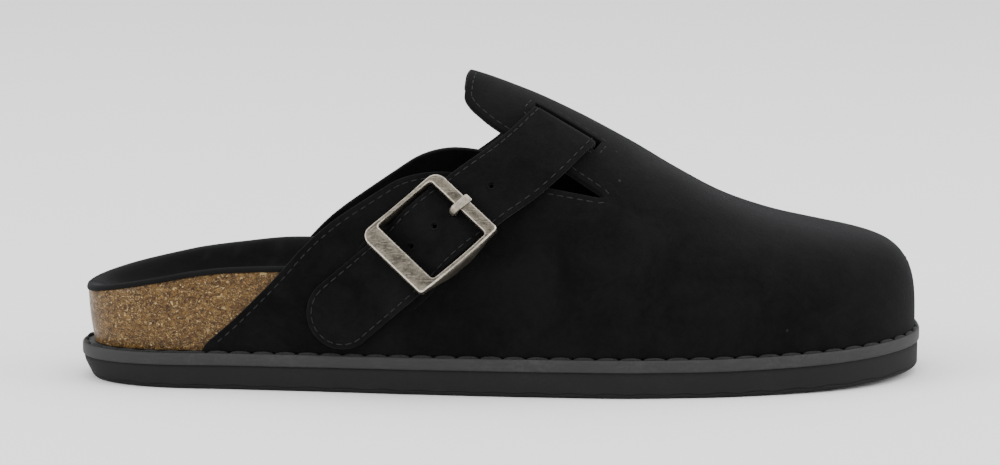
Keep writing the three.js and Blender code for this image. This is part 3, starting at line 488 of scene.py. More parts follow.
def stitch_shape(length, width, height, segments=8, rings=6):
    """A plump thread laid between two holes: thin at its ends, where it dives in."""
    bm = bmesh.new()
    bmesh.ops.create_uvsphere(bm, u_segments=segments, v_segments=rings, radius=0.5)
    bmesh.ops.rotate(bm, verts=bm.verts, cent=(0, 0, 0), matrix=Matrix.Rotation(HALF_PI, 3, "Y"))
    for vert in bm.verts:
        x, y, z = vert.co
        fuller = (1 - (2 * abs(x)) ** 2.6) ** 0.5 if abs(x) < 0.5 else 0
        radius = math.hypot(y, z)
        if radius > 1e-6:
            y, z = y / radius * fuller * 0.5, z / radius * fuller * 0.5
        vert.co = (x * length * MM, y * width * MM, (z - abs(x) ** 2 * 0.7) * height * MM)
    return bm


def sheet_edges(bm):
    """Each edge loop of an open sheet: its verts in order, and the way out of the sheet at each."""
    bm.normal_update()
    left = {e for e in bm.edges if e.is_boundary}
    loops = []
    while left:
        edge = next(iter(left))
        loop_start = edge.link_loops[0]
        chain = [loop_start.vert]
        vert = loop_start.link_loop_next.vert
        left.discard(edge)
        while vert is not chain[0]:
            chain.append(vert)
            onward = [e for e in vert.link_edges if e in left]
            if not onward:
                break
            left.discard(onward[0])
            vert = onward[0].other_vert(vert)
        loops.append(chain)
    ways = []
    for chain in loops:
        spots = np.array([v.co[:] for v in chain])
        normals = np.array([v.normal[:] for v in chain])
        ahead = np.roll(spots, -1, 0) - np.roll(spots, 1, 0)
        ways.append(unit(np.cross(unit(ahead), normals)))
    return loops, ways


def wall(bm, thickness, edge):
    """Gives a sheet a wall on its under side, with an edge profile of rows (out, down) in mm.
    Returns the loops of the sheet's edge as points, ways out and normals."""
    loops, ways = sheet_edges(bm)
    rims = []
    top = list(bm.verts)
    faces = list(bm.faces)
    normals = {v: v.normal.copy() for v in top}
    twin = {}
    copy = bmesh.ops.duplicate(bm, geom=top + list(bm.edges) + faces)
    for a, b in copy["vert_map"].items():
        if a in normals:
            twin[a] = b
    bmesh.ops.reverse_faces(bm, faces=[f for f in copy["geom"] if isinstance(f, bmesh.types.BMFace)])
    for a, b in twin.items():
        b.co = a.co - normals[a] * thickness * MM
    for chain, way in zip(loops, ways):
        spots = np.array([v.co[:] for v in chain])
        lift = np.array([normals[v][:] for v in chain])
        rims.append((spots / MM - OFFSET, way, lift))
        verts = list(chain)
        steps = [spots + (way * out - lift * down) * MM for out, down in edge]
        last = verts
        for row in steps:
            new = [bm.verts.new(p) for p in row]
            join(bm, last, new)
            last = new
        join(bm, last, [twin[v] for v in chain])
    return rims


def join(bm, first, second):
    """A band of quads between two closed chains of verts."""
    count = len(first)
    for k in range(count):
        n = (k + 1) % count
        bm.faces.new((first[n], first[k], second[k], second[n]))


def resampled(points, pitch, closed=True):
    """Places at an even pitch along a chain: index shares into the chain."""
    ring = np.vstack([points, points[:1]]) if closed else points
    run = np.concatenate([[0], np.cumsum(np.linalg.norm(np.diff(ring, axis=0), axis=1))])
    count = max(2, round(run[-1] / pitch))
    return np.interp(np.arange(count) * run[-1] / count, run, np.arange(len(ring)))


def along_chain(values, places):
    ring = np.vstack([values, values[:1]])
    low = places.astype(int)
    t = (places - low)[:, None]
    return mix(ring[low], ring[low + 1], t)


def frames_on(points, ways, normals, pitch, inset, lift=0.0, keep=None):
    """Origins and axes for stitches that follow an edge, set in by a distance."""
    places = resampled(points, pitch)
    spot = along_chain(points, places)
    way = unit(along_chain(ways, places))
    up = unit(along_chain(normals, places))
    made = []
    for p, w, n in zip(spot, way, up):
        ahead = np.cross(n, w)
        origin = p - w * inset + n * lift
        if keep is None or keep(origin):
            made.append((origin, Vector(ahead), Vector(w), Vector(n)))
    return made


def smooth_line(rows, steps=3):
    """A uniform curve through the rows of a collar table, in shoe millimetres."""
    level = seat(0.5)
    p = np.array([(a * LENGTH, level + up * INSTEP) for a, up in rows])
    count = len(p) - 1
    place = np.linspace(0, count, steps * count + 1)
    i = np.minimum(place.astype(int), count - 1)
    t = (place - i)[:, None]
    p0, p1, p2, p3 = p[np.maximum(i - 1, 0)], p[i], p[i + 1], p[np.minimum(i + 2, count)]
    v0 = (p2 - p0) / 2
    v1 = (p3 - p1) / 2
    return (2 * p1 - 2 * p2 + v0 + v1) * t ** 3 + (-3 * p1 + 3 * p2 - 2 * v0 - v1) * t ** 2 + v0 * t + p1


def outside(points, polygon):
    """Signed distance from a closed polygon: above zero outside it."""
    nearest = np.full(len(points), np.inf)
    inside = np.zeros(len(points), bool)
    for a, b in zip(polygon, np.roll(polygon, -1, 0)):
        side = b - a
        t = np.clip(((points - a) @ side) / max(side @ side, 1e-12), 0, 1)
        nearest = np.minimum(nearest, np.linalg.norm(points - a - t[:, None] * side, axis=1))
        crosses = (a[1] > points[:, 1]) != (b[1] > points[:, 1])
        with np.errstate(divide="ignore", invalid="ignore"):
            x = a[0] + (points[:, 1] - a[1]) * side[0] / side[1]
        inside ^= crosses & (points[:, 0] < x)
    return np.where(inside, -nearest, nearest)


def collar_polygon(quarter, tongue):
    level = seat(0.5)
    low = level - INSTEP * 0.2
    top = level + INSTEP * 1.5
    back = -LENGTH * 0.1
    return np.vstack([
        [(back, low), (quarter[0][0] * LENGTH, low)], smooth_line(quarter), smooth_line(tongue),
        [(tongue[-1][0] * LENGTH, top), (back, top)],
    ])


def trimmed(bm, shares, surface, distance, measured=None):
    """Cuts a sheet where a distance function falls under zero: verts slide on to the cut first.
    The distance is read on the measured places of the shares, or else on the surface itself."""
    measured = measured or surface
    place = bm.verts.layers.int.new("place")
    verts = list(bm.verts)
    for k, vert in enumerate(verts):
        vert.index = k
        vert[place] = k
    d = distance(measured(shares))
    pairs = np.array([[v.index for v in e.verts] for e in bm.edges])
    crossing = pairs[(d[pairs[:, 0]] * d[pairs[:, 1]]) < 0]
    low, high = np.zeros(len(crossing)), np.ones(len(crossing))
    first_sign = np.sign(d[crossing[:, 0]])
    for _ in range(CUT_HALVINGS):
        middle = (low + high) / 2
        spots = mix(shares[crossing[:, 0]], shares[crossing[:, 1]], middle[:, None])
        same = np.sign(distance(measured(spots))) == first_sign
        low = np.where(same, middle, low)
        high = np.where(same, high, middle)
    t = (low + high) / 2
    near = np.where(t < 0.5, crossing[:, 0], crossing[:, 1])
    target = mix(shares[crossing[:, 0]], shares[crossing[:, 1]], t[:, None])
    for k in np.argsort(-np.minimum(t, 1 - t)):
        shares[near[k]] = target[k]
        d[near[k]] = 0.0
    for vert, spot in zip(verts, placed(surface(shares))):
        vert.co = spot
    gone = []
    for face in list(bm.faces):
        values = [d[v[place]] for v in face.verts]
        if min(values) >= 0:
            continue
        zeros = [v for v in face.verts if d[v[place]] == 0.0]
        if max(values) > 0 and len(zeros) == 2:
            new, _loop = bmesh.utils.face_split(face, zeros[0], zeros[1])
            gone += [half for half in (face, new) if min(d[v[place]] for v in half.verts) < 0]
        else:
            gone.append(face)
    bmesh.ops.delete(bm, geom=gone, context="FACES")
    loose = [v for v in bm.verts if not v.link_faces]
    bmesh.ops.delete(bm, geom=loose, context="VERTS")
    bm.verts.layers.int.remove(bm.verts.layers.int["place"])


# Materials


def socket_group(name, inputs, outputs):
    """An empty shader group with named value inputs and outputs."""
    group = bpy.data.node_groups.new(name, "ShaderNodeTree")
    for label, kind, default in inputs:
        socket = group.interface.new_socket(name=label, in_out="INPUT", socket_type=kind)
        socket.default_value = default
    for label, kind in outputs:
        group.interface.new_socket(name=label, in_out="OUTPUT", socket_type=kind)
    return group, group.nodes.new("NodeGroupInput"), group.nodes.new("NodeGroupOutput")


def node(tree, kind, links=(), **values):
    """Adds a node, sets its properties and plain inputs, and links the given inputs."""
    made = tree.nodes.new(kind)
    for key, value in values.items():
        if hasattr(made, key):
            setattr(made, key, value)
        else:
            made.inputs[key.replace("_", " ")].default_value = value
    for key, output in links:
        tree.links.new(made.inputs[key], output)
    return made


def maths(tree, operation, a, b=0.5, clamp=False):
    made = tree.nodes.new("ShaderNodeMath")
    made.operation = operation
    made.use_clamp = clamp
    for index, value in enumerate((a, b)):
        if isinstance(value, (int, float)):
            made.inputs[index].default_value = value
        else:
            tree.links.new(made.inputs[index], value)
    return made.outputs[0]


def ranged(tree, value, low, high, to_low=0.0, to_high=1.0):
    made = tree.nodes.new("ShaderNodeMapRange")
    made.interpolation_type = "SMOOTHSTEP"
    for index, number in enumerate((low, high, to_low, to_high), 1):
        made.inputs[index].default_value = number
    tree.links.new(made.inputs[0], value)
    return made.outputs[0]


def tinted(tree, factor, a, b):
    """Mixes two colours, each a colour or an output."""
    made = tree.nodes.new("ShaderNodeMix")
    made.data_type = "RGBA"
    if isinstance(factor, float):
        made.inputs[0].default_value = factor
    else:
        tree.links.new(made.inputs[0], factor)
    for index, value in ((6, a), (7, b)):
        if isinstance(value, tuple):
            made.inputs[index].default_value = value
        else:
            tree.links.new(made.inputs[index], value)
    return made.outputs[2]


def noise(tree, vector, scale, detail=3.0, roughness=0.55, distortion=0.0):
    return node(tree, "ShaderNodeTexNoise", [("Vector", vector)], Scale=scale, Detail=detail,
                Roughness=roughness, Distortion=distortion).outputs["Fac"]


def cells(tree, vector, scale, feature="F1", randomness=1.0):
    return node(tree, "ShaderNodeTexVoronoi", [("Vector", vector)], feature=feature, Scale=scale,
                Randomness=randomness)


def nap_group():
    """Brushed fibres: a soft cloud of lighter and darker nap, lint specks and a fine height."""
    group, given, out = socket_group(
        "Nap", (("Vector", "NodeSocketVector", (0, 0, 0)), ("Cloud Scale", "NodeSocketFloat", 40.0),
                ("Lint", "NodeSocketFloat", 0.5)),
        (("Shade", "NodeSocketFloat"), ("Lint", "NodeSocketFloat"), ("Height", "NodeSocketFloat")))
    vector = given.outputs["Vector"]
    cloud = node(group, "ShaderNodeTexNoise", [("Vector", vector), ("Scale", given.outputs["Cloud Scale"])],
                 Detail=4.0, Roughness=0.6, Distortion=0.6).outputs["Fac"]
    fibre = noise(group, vector, 1700.0, 4.0, 0.7)
    tuft = noise(group, vector, 420.0, 3.0, 0.6, 0.8)
    shade = maths(group, "ADD", maths(group, "MULTIPLY", cloud, 0.6), maths(group, "MULTIPLY", tuft, 0.25))
    shade = maths(group, "ADD", shade, maths(group, "MULTIPLY", fibre, 0.15))
    dots = cells(group, vector, 230.0)
    speck = ranged(group, dots.outputs["Distance"], 0.0, 0.17, 1.0, 0.0)
    rare = ranged(group, dots.outputs["Color"], 0.86, 0.9)
    lint = maths(group, "MULTIPLY", maths(group, "MULTIPLY", speck, rare), given.outputs["Lint"], True)
    height = maths(group, "ADD", maths(group, "MULTIPLY", fibre, 0.6), maths(group, "MULTIPLY", tuft, 0.6))
    group.links.new(out.inputs["Shade"], shade)
    group.links.new(out.inputs["Lint"], lint)
    group.links.new(out.inputs["Height"], height)
    return group


def grit_group():
    """Fine dust and pores of moulded rubber and foam."""
    group, given, out = socket_group(
        "Grit", (("Vector", "NodeSocketVector", (0, 0, 0)), ("Pore Scale", "NodeSocketFloat", 900.0)),
        (("Dust", "NodeSocketFloat"), ("Height", "NodeSocketFloat")))
    vector = given.outputs["Vector"]
    pores = node(group, "ShaderNodeTexNoise", [("Vector", vector), ("Scale", given.outputs["Pore Scale"])],
                 Detail=3.0, Roughness=0.6).outputs["Fac"]
    broad = noise(group, vector, 60.0, 4.0, 0.65)
    dust = maths(group, "MULTIPLY", ranged(group, broad, 0.42, 0.75), ranged(group, pores, 0.4, 0.7))
    group.links.new(out.inputs["Dust"], dust)
    group.links.new(out.inputs["Height"], pores)
    return group


def new_material(name):
    material = bpy.data.materials.new(name)
    material.use_nodes = True
    tree = material.node_tree
    tree.nodes.clear()
    out = tree.nodes.new("ShaderNodeOutputMaterial")
    shader = tree.nodes.new("ShaderNodeBsdfPrincipled")
    tree.links.new(out.inputs["Surface"], shader.outputs["BSDF"])
    place = tree.nodes.new("ShaderNodeTexCoord").outputs["Object"]
    return material, tree, shader, place


def bumped(tree, shader, height, strength, distance):
    bump = node(tree, "ShaderNodeBump", [("Height", height)], Strength=strength, Distance=distance * MM)
    tree.links.new(shader.inputs["Normal"], bump.outputs["Normal"])


def placed_group(tree, group, place, **values):
    made = tree.nodes.new("ShaderNodeGroup")
    made.node_tree = group
    tree.links.new(made.inputs["Vector"], place)
    for key, value in values.items():
        made.inputs[key.replace("_", " ")].default_value = value
    return made


def suede(name, dark, light, nap, cloud=40.0, lint=0.5, sheen=0.038, bump=0.6, painted_floor_light=0.0):
    material, tree, shader, place = new_material(name)
    fibres = placed_group(tree, nap, place, Cloud_Scale=cloud, Lint=lint)
    shade = ranged(tree, fibres.outputs["Shade"], 0.32, 0.68)
    colour = tinted(tree, shade, dark, light)
    colour = tinted(tree, fibres.outputs["Lint"], colour, (0.06, 0.06, 0.06, 1))
    # Painted light: where the vertex values are set, the colour is lifted toward a lighter grey, standing in for light
    # on the lining's upward-facing floor.
    if painted_floor_light:
        wear_and_light = node(tree, "ShaderNodeAttribute", attribute_name="wear_and_light").outputs["Fac"]
        colour = tinted(tree, maths(tree, "MULTIPLY", wear_and_light, painted_floor_light), colour, (0.03, 0.03, 0.031, 1))
    tree.links.new(shader.inputs["Base Color"], colour)
    shader.inputs["Roughness"].default_value = 1.0
    shader.inputs["Specular IOR Level"].default_value = 0.05
    shader.inputs["Sheen Weight"].default_value = sheen
    shader.inputs["Sheen Roughness"].default_value = 0.5
    shader.inputs["Sheen Tint"].default_value = (0.94, 0.95, 1.0, 1)
    bumped(tree, shader, fibres.outputs["Height"], bump, 0.35)
    return material


def rubber(name, dark, light, grit, pores, roughness, bump, streak=0.0):
    material, tree, shader, place = new_material(name)
    dirt = placed_group(tree, grit, place, Pore_Scale=pores)
    colour = tinted(tree, dirt.outputs["Dust"], dark, light)
    if streak:
        stretch = node(tree, "ShaderNodeMapping", [("Vector", place)], Scale=(0.12, 0.12, 1.0))
        lines = noise(tree, stretch.outputs["Vector"], 1500.0, 3.0, 0.7)
        colour = tinted(tree, maths(tree, "MULTIPLY", ranged(tree, lines, 0.45, 0.75), streak), colour, light)
    tree.links.new(shader.inputs["Base Color"], colour)
    tree.links.new(shader.inputs["Roughness"], ranged(tree, dirt.outputs["Dust"], 0.0, 1.0, roughness, 0.95))
    shader.inputs["Specular IOR Level"].default_value = 0.2
    bumped(tree, shader, dirt.outputs["Height"], bump, 0.2)
    return material


def cork(name, settings):
    """Pressed cork: pale grains among brown ones, with painted glints, dark bark flecks and small pits."""
    material, tree, shader, place = new_material(name)
    warp = node(tree, "ShaderNodeTexNoise", [("Vector", place)], Scale=420.0, Detail=2.0)
    bent = node(tree, "ShaderNodeVectorMath", [(0, warp.outputs["Color"])], operation="SCALE", Scale=0.0028)
    moved = node(tree, "ShaderNodeVectorMath", [(0, place), (1, bent.outputs[0])], operation="ADD").outputs[0]
    flat = node(tree, "ShaderNodeMapping", [("Vector", moved)], Scale=(0.8, 1.0, 1.25)).outputs[0]
    coarse = cells(tree, flat, 640.0)
    fine = cells(tree, flat, 1500.0)
    brown, gold, pale = (tuple(c) + (1,) for c in (settings.cork_brown, settings.cork_gold, settings.cork_pale_and_glint))
    colour = tinted(tree, ranged(tree, coarse.outputs["Color"], 0.1, 0.9), brown, gold)
    tiny = ranged(tree, fine.outputs["Color"], 0.1, 0.9)
    colour = tinted(tree, maths(tree, "MULTIPLY", tiny, 0.6), colour, gold)
    strokes = noise(tree, flat, 760.0, 3.0, 0.65, 1.6)
    colour = tinted(tree, ranged(tree, strokes, 0.49, 0.6, 0.0, 0.92), colour, (0.022, 0.009, 0.003, 1))
    # Painted highlights: bright strokes and flecks of the pale colour stand partly for pale cork grains and partly for
    # glossy glints on them.
    glints = noise(tree, flat, 980.0, 2.0, 0.6, 2.2)
    colour = tinted(tree, ranged(tree, glints, 0.56, 0.7, 0.0, 0.75), colour, pale)
    bright = maths(tree, "MULTIPLY", ranged(tree, fine.outputs["Color"], 0.86, 0.93), 0.6)
    colour = tinted(tree, bright, colour, pale)
    gaps = cells(tree, flat, 640.0, "DISTANCE_TO_EDGE").outputs["Distance"]
    colour = tinted(tree, ranged(tree, gaps, 0.0, 0.08, 0.6, 0.0), colour, (0.03, 0.013, 0.004, 1))
    tree.links.new(shader.inputs["Base Color"], colour)
    tree.links.new(shader.inputs["Roughness"], ranged(tree, coarse.outputs["Color"], 0.0, 1.0, 0.55, 0.32))
    shader.inputs["Specular IOR Level"].default_value = 0.12
    shader.inputs["Coat Weight"].default_value = 0.2
    shader.inputs["Coat Roughness"].default_value = 0.3
    height = maths(tree, "ADD", ranged(tree, gaps, 0.0, 0.12), maths(tree, "MULTIPLY", tiny, 0.5))
    bumped(tree, shader, height, 0.45, 0.25)
    return material


def thread(name, dark, light):
    """Twisted thread: a fine noise of lighter and darker strands."""
    material, tree, shader, place = new_material(name)
    strands = noise(tree, place, 2600.0, 2.0, 0.6, 1.0)
    tree.links.new(shader.inputs["Base Color"], tinted(tree, ranged(tree, strands, 0.35, 0.65), dark, light))
    shader.inputs["Roughness"].default_value = 0.75
    shader.inputs["Specular IOR Level"].default_value = 0.15
    shader.inputs["Sheen Weight"].default_value = 0.03
    bumped(tree, shader, strands, 0.5, 0.15)
    return material


def nickel(name, settings):
    """Antique nickel: warm grey, mottled and scratched, bright where wear has polished its edges."""
    material, tree, shader, place = new_material(name)
    wear_and_light = node(tree, "ShaderNodeAttribute", attribute_name="wear_and_light").outputs["Fac"]
    cloud = noise(tree, place, 190.0, 5.0, 0.68, 0.5)
    fine = noise(tree, place, 1300.0, 4.0, 0.7)
    stretch = node(tree, "ShaderNodeMapping", [("Vector", place)], Rotation=(0.4, 0.7, 0.3), Scale=(0.09, 1, 1))
    scratch = ranged(tree, noise(tree, stretch.outputs["Vector"], 2400.0, 2.0, 0.6), 0.56, 0.66)
    dark = tuple(settings.metal_dark) + (1,)
    light = tuple(settings.metal_light) + (1,)
    patch = ranged(tree, maths(tree, "ADD", maths(tree, "MULTIPLY", cloud, 0.75), maths(tree, "MULTIPLY", fine, 0.25)),
                   0.4, 0.62)
    colour = tinted(tree, patch, dark, light)
    colour = tinted(tree, maths(tree, "MULTIPLY", scratch, 0.35), colour, (0.38, 0.34, 0.28, 1))
    rub = maths(tree, "MULTIPLY", wear_and_light, ranged(tree, fine, 0.3, 0.6, 0.55, 1.0), True)
    colour = tinted(tree, rub, colour, (0.74, 0.67, 0.56, 1))
    tree.links.new(shader.inputs["Base Color"], colour)
    rough = maths(tree, "SUBTRACT", ranged(tree, cloud, 0.3, 0.7, 0.52, 0.34), maths(tree, "MULTIPLY", rub, 0.12))
    tree.links.new(shader.inputs["Roughness"], rough)
    shader.inputs["Metallic"].default_value = 1.0
    height = maths(tree, "SUBTRACT", fine, maths(tree, "MULTIPLY", scratch, 0.6))
    bumped(tree, shader, height, 0.22, 0.12)
    return material


def shoe_material(name):
    """One of the shoe's finishes, made once."""
    label = f"{name}_finish"
    made = bpy.data.materials.get(label)
    if made:
        return made
    settings = bpy.context.scene.clog_finish
    nap = bpy.data.node_groups.get("Nap") or nap_group()
    grit = bpy.data.node_groups.get("Grit") or grit_group()
    dark = tuple(settings.suede_dark) + (1,)
    light = tuple(settings.suede_light) + (1,)
    makers = {
        "upper_suede": lambda: suede(label, dark, light, nap),
        "strap_suede": lambda: suede(label, dark, light, nap, 70.0, 0.6),
        # The lining's last figure sets how much painted light lightens its upward-facing floor.
        "lining_suede": lambda: suede(label, tuple(c * 1.15 for c in dark[:3]) + (1,), light, nap, 30.0, 0.25, 0.05, 0.4, 0.35),
        "footbed_edge": lambda: rubber(label, (0.008, 0.008, 0.009, 1), (0.02, 0.02, 0.02, 1), grit, 900.0, 0.5, 0.2),
        "outsole_foam": lambda: rubber(label, tuple(settings.foam) + (1,), (0.016, 0.016, 0.016, 1), grit, 1400.0, 0.8, 0.5),
        "welt_rubber": lambda: rubber(label, tuple(settings.welt) + (1,), (0.045, 0.045, 0.045, 1), grit, 900.0, 0.6, 0.25, 0.3),
        "cork": lambda: cork(label, settings),
        "welt_thread": lambda: thread(label, (0.006, 0.006, 0.006, 1), (0.022, 0.022, 0.022, 1)),
        "edge_thread": lambda: thread(label, (0.006, 0.006, 0.006, 1), (0.02, 0.02, 0.02, 1)),
        "antique_nickel": lambda: nickel(label, settings),
    }
    return makers[name]()


# Settings


class ClogFinish(bpy.types.PropertyGroup):
    """Colours of the clog's finishes."""

    suede_dark: bpy.props.FloatVectorProperty(
        name="Suede shade", description="Colour of the suede where its nap lies dark",
        subtype="COLOR", size=3, min=0, max=1, default=(0.0022, 0.0022, 0.0023))
    suede_light: bpy.props.FloatVectorProperty(
        name="Suede light", description="Colour of the suede where its nap is brushed up",
        subtype="COLOR", size=3, min=0, max=1, default=(0.0056, 0.0056, 0.0058))
    cork_brown: bpy.props.FloatVectorProperty(
        name="Cork brown", description="Colour of the darker cork grains",
        subtype="COLOR", size=3, min=0, max=1, default=(0.048, 0.021, 0.005))
    cork_gold: bpy.props.FloatVectorProperty(
        name="Cork gold", description="Colour of the common cork grains",
        subtype="COLOR", size=3, min=0, max=1, default=(0.145, 0.078, 0.02))
    # The palest cork colour also paints the cork's glints.
    cork_pale_and_glint: bpy.props.FloatVectorProperty(
        name="Cork pale", description="Colour of the palest cork flecks",
        subtype="COLOR", size=3, min=0, max=1, default=(0.5, 0.37, 0.18))
    foam: bpy.props.FloatVectorProperty(
        name="Outsole foam", description="Colour of the outsole",
        subtype="COLOR", size=3, min=0, max=1, default=(0.0085, 0.0085, 0.0088))
    welt: bpy.props.FloatVectorProperty(
        name="Welt", description="Colour of the welt band",
        subtype="COLOR", size=3, min=0, max=1, default=(0.024, 0.024, 0.0245))
    metal_dark: bpy.props.FloatVectorProperty(
        name="Nickel shade", description="Colour of the tarnished nickel",
        subtype="COLOR", size=3, min=0, max=1, default=(0.05, 0.044, 0.035))
    metal_light: bpy.props.FloatVectorProperty(
        name="Nickel light", description="Colour of the cleaner nickel",
        subtype="COLOR", size=3, min=0, max=1, default=(0.185, 0.163, 0.13))


class ClogDetail(bpy.types.PropertyGroup):
    """Small sizes of the clog that a user may change, in metres."""

    stitch_pitch: bpy.props.FloatProperty(
        name="Stitch pitch", description="Distance between stitches along the edges of the suede",
        subtype="DISTANCE", unit="LENGTH", default=3.3 * MM)
    stitch_inset: bpy.props.FloatProperty(
        name="Stitch inset", description="How far the edge stitches stand in from the cut edge",
        subtype="DISTANCE", unit="LENGTH", default=2.2 * MM)
    welt_pitch: bpy.props.FloatProperty(
        name="Welt stitch pitch", description="Distance between the big stitches on the welt",
        subtype="DISTANCE", unit="LENGTH", default=7.7 * MM)
    strap_row_inset: bpy.props.FloatProperty(
        name="Strap row inset", description="How far the strap's stitch rows stand in from its edge",
        subtype="DISTANCE", unit="LENGTH", default=1.8 * MM)
    tread_pitch: bpy.props.FloatProperty(
        name="Tread pitch", description="Distance between the grooves of the tread",
        subtype="DISTANCE", unit="LENGTH", default=13 * MM)
    camera_lens: bpy.props.FloatProperty(
        name="Camera lens", description="Focal length of the camera, in millimetres of a 36 mm sensor",
        default=147.1, min=10)


# Sole


def foot_angles(count):
    return np.arange(count) * TAU / count


def along_of(angle):
    return (1 - np.cos(angle)) / 2


def tread_depth(x, y):
    """How far the tread is cut up from the ground, in millimetres, at places of the sole."""
    along = x / LENGTH
    turned = np.arccos(np.clip(1 - 2 * along, -1, 1))
    low = outline(turned)[..., 1]
    high = outline(TAU - turned)[..., 1]
    t = np.clip((y - low) / np.maximum(high - low, 1e-6), 0, 1)
    margin = np.minimum(y - low, high - y)
    margin = np.minimum(margin, np.minimum(x, LENGTH - x) * 0.9)
    bow = 5 * np.sin(math.pi * t)
    lug = np.zeros_like(x)
    for first, count in ((26, 5), (150, 8)):
        for k in range(count):
            away = np.abs(x - first - 13 * k - bow)
            lug = np.maximum(lug, 1.6 * (1 - ease(away, 0.9, 1.6)))
    lug = lug * ease(margin, 8, 9.5)
    wave = np.sin((x + 1.6 * np.sin(y * TAU / 11)) * TAU / 3.25)
    fine = 0.22 * (1 + wave) * ease(margin, 4, 5.5) * (lug < 0.3)
    border = 0.5 * (1 - ease(np.abs(margin - 5.5), 0.4, 1.0))
    return np.maximum(np.maximum(lug, fine), border)


def build_outsole():
    """The foam sole: side wall with its taper and step, and a treaded bottom."""
    angle = foot_angles(360)
    along = along_of(angle)
    taper = HEEL_TAPER * np.clip(1 - along / HEEL_TAPER_END, 0, 1)
    low, high = spring(along), outsole_top(along)
    edge = SOLE_STEP - 0.3
    x = outline(angle)[:, 0]
    scallop = 0.12 * np.sin(x * TAU / 12.4)
    rows = (
        (0.965, edge + 3.0, 0), (1.0, SOLE_STEP + 0.4, 0), (1.0, SOLE_STEP, 0), (0.965, edge + 0.25, 0), (0.9, edge, 0),
        (0.75, edge - 0.05 + taper * 0.12, 0), (0.55, edge + taper * 0.36, 0), (0.3, edge + taper * 0.7, 0.4),
        (0.2, edge + 0.02 + taper * 0.82, 1), (0.175, edge + 0.22 + taper * 0.85, 1), (0.15, edge + taper * 0.88, 1),
        (0.11, edge + 0.1 + taper * 0.95, 0.6), (0.06, edge + 0.3 + taper, 0), (0.025, edge + 0.7 + taper, 0),
        (0.0, edge + 1.4 + taper, 0), (0.0, edge + 3.2 + taper, 0),
    )
    rings = []
    for share, inset, wavy in rows:
        spot = rim(angle, inset)
        height = mix(low, high, share + wavy * scallop * 0.25)
        rings.append(np.concatenate([spot, height[:, None]], 1))
    bm = skin(np.array(rings), around=True)
    close_sole(bm, rings[0], True)
    bottom = tread_sheet()
    merged = bpy.data.meshes.new("tread")
    bottom.to_mesh(merged)
    bottom.free()
    bm.from_mesh(merged)
    bpy.data.meshes.remove(merged)
    return finished("outsole_foam", bm, shoe_material("outsole_foam"), ("outsole",), 35)


def close_sole(bm, ring, top):
    level = placed(ring)[:, 2].max() if top else placed(ring)[:, 2].min()
    edges = [e for e in bm.edges if e.is_boundary and abs(e.verts[0].co.z - level) < 4 * MM]
    upper_half = [e for e in edges if e.verts[0].co.z > 4 * MM]
    bmesh.ops.holes_fill(bm, edges=upper_half, sides=0)


def tread_sheet():
    """The bottom of the sole, rows across and stations along, with its grooves pressed in."""
    stations, lanes = 300, 84
    t = np.linspace(0.0015, 0.9985, stations)
    angle = np.arccos(1 - 2 * (1 - np.cos(t * math.pi)) / 2)
    along = along_of(angle)
    taper = HEEL_TAPER * np.clip(1 - along / HEEL_TAPER_END, 0, 1)
    inset = SOLE_STEP + 2.5 + taper
    low = rim(angle, inset)
    high = rim(TAU - angle, inset)
    share = np.linspace(0, 1, lanes)[None, :, None]
    flat = mix(low[:, None, :], high[:, None, :], share)
    depth = tread_depth(flat[..., 0], flat[..., 1])
    z = spring(np.clip(flat[..., 0] / LENGTH, 0, 1)) + depth
    return skin(np.concatenate([flat, z[..., None]], -1)[:, ::-1])


def build_welt():
    """The rubber band round the sole: a flat face with softened corners and a sunk stitch channel."""
    angle = foot_angles(420)
    along = along_of(angle)
    low = outsole_top(along) + GAP * 0.4
    high = welt_top(along)
    rows = (
        (0.0, 6.0, 0), (0.0, 0.5, 0), (0.06, 0.14, 0), (0.14, 0.0, 0), (0.4, -0.03, 0), (0.66, -0.03, 0),
        (0.86, 0.0, 0), (0.95, 0.12, 0), (1.0, 0.42, 0), (1.0, 0.8, -0.02), (0.985, 1.0, -0.2),
        (0.985, 1.5, -0.25), (1.0, 2.6, -0.1), (1.0, 8.0, 0),
    )
    rings = []
    for share, inset, sink in rows:
        spot = rim(angle, inset)
        rings.append(np.concatenate([spot, (mix(low, high, share) + sink)[:, None]], 1))
    bm = skin(np.array(rings), around=True)
    close_ends(bm)
    return finished("welt_band", bm, shoe_material("welt_rubber"), ("welt",), 40)


def build_welt_stitches():
    """Big lens-shaped stitches on the welt, close round the foot of the shoe."""
    pitch = bpy.context.scene.clog_detail.welt_pitch / MM
    angle = foot_angles(2400)
    spot = rim(angle, 1.3)
    high = welt_top(along_of(angle)) + 0.12
    points = np.concatenate([spot, high[:, None]], 1)
    inward = unit(rim(angle, 1.6) - rim(angle, 0.4))
    ways = np.concatenate([-inward, np.zeros((len(angle), 1))], 1)
    normals = np.tile((0.0, 0.0, 1.0), (len(angle), 1))
    frames = frames_on(points, ways, normals, pitch, 0.0)
    bm = copies(stitch_shape(pitch * 0.93, 1.35, 1.25, 10, 12), frames)
    return finished("welt_stitches", bm, shoe_material("welt_thread"), (), 60)


# Footbed


FOOTBED_INSET = LEDGE + UPPER_WALL + GAP
RIM_DIP = 1.7
RIM_DIP_PLACE = 0.27
RIM_DIP_REACH = 0.08


def rim_height(along, inner):
    dip = RIM_DIP * np.exp(-(((along - RIM_DIP_PLACE) / RIM_DIP_REACH) ** 2)) * (1 - inner)
    return seat(along) + (RIM_HEIGHT + INNER_RIM_RISE * inner) * rim_share(along) - dip


def floor_height(along):
    return seat(along) + RIM_HEIGHT * floor_share(along)


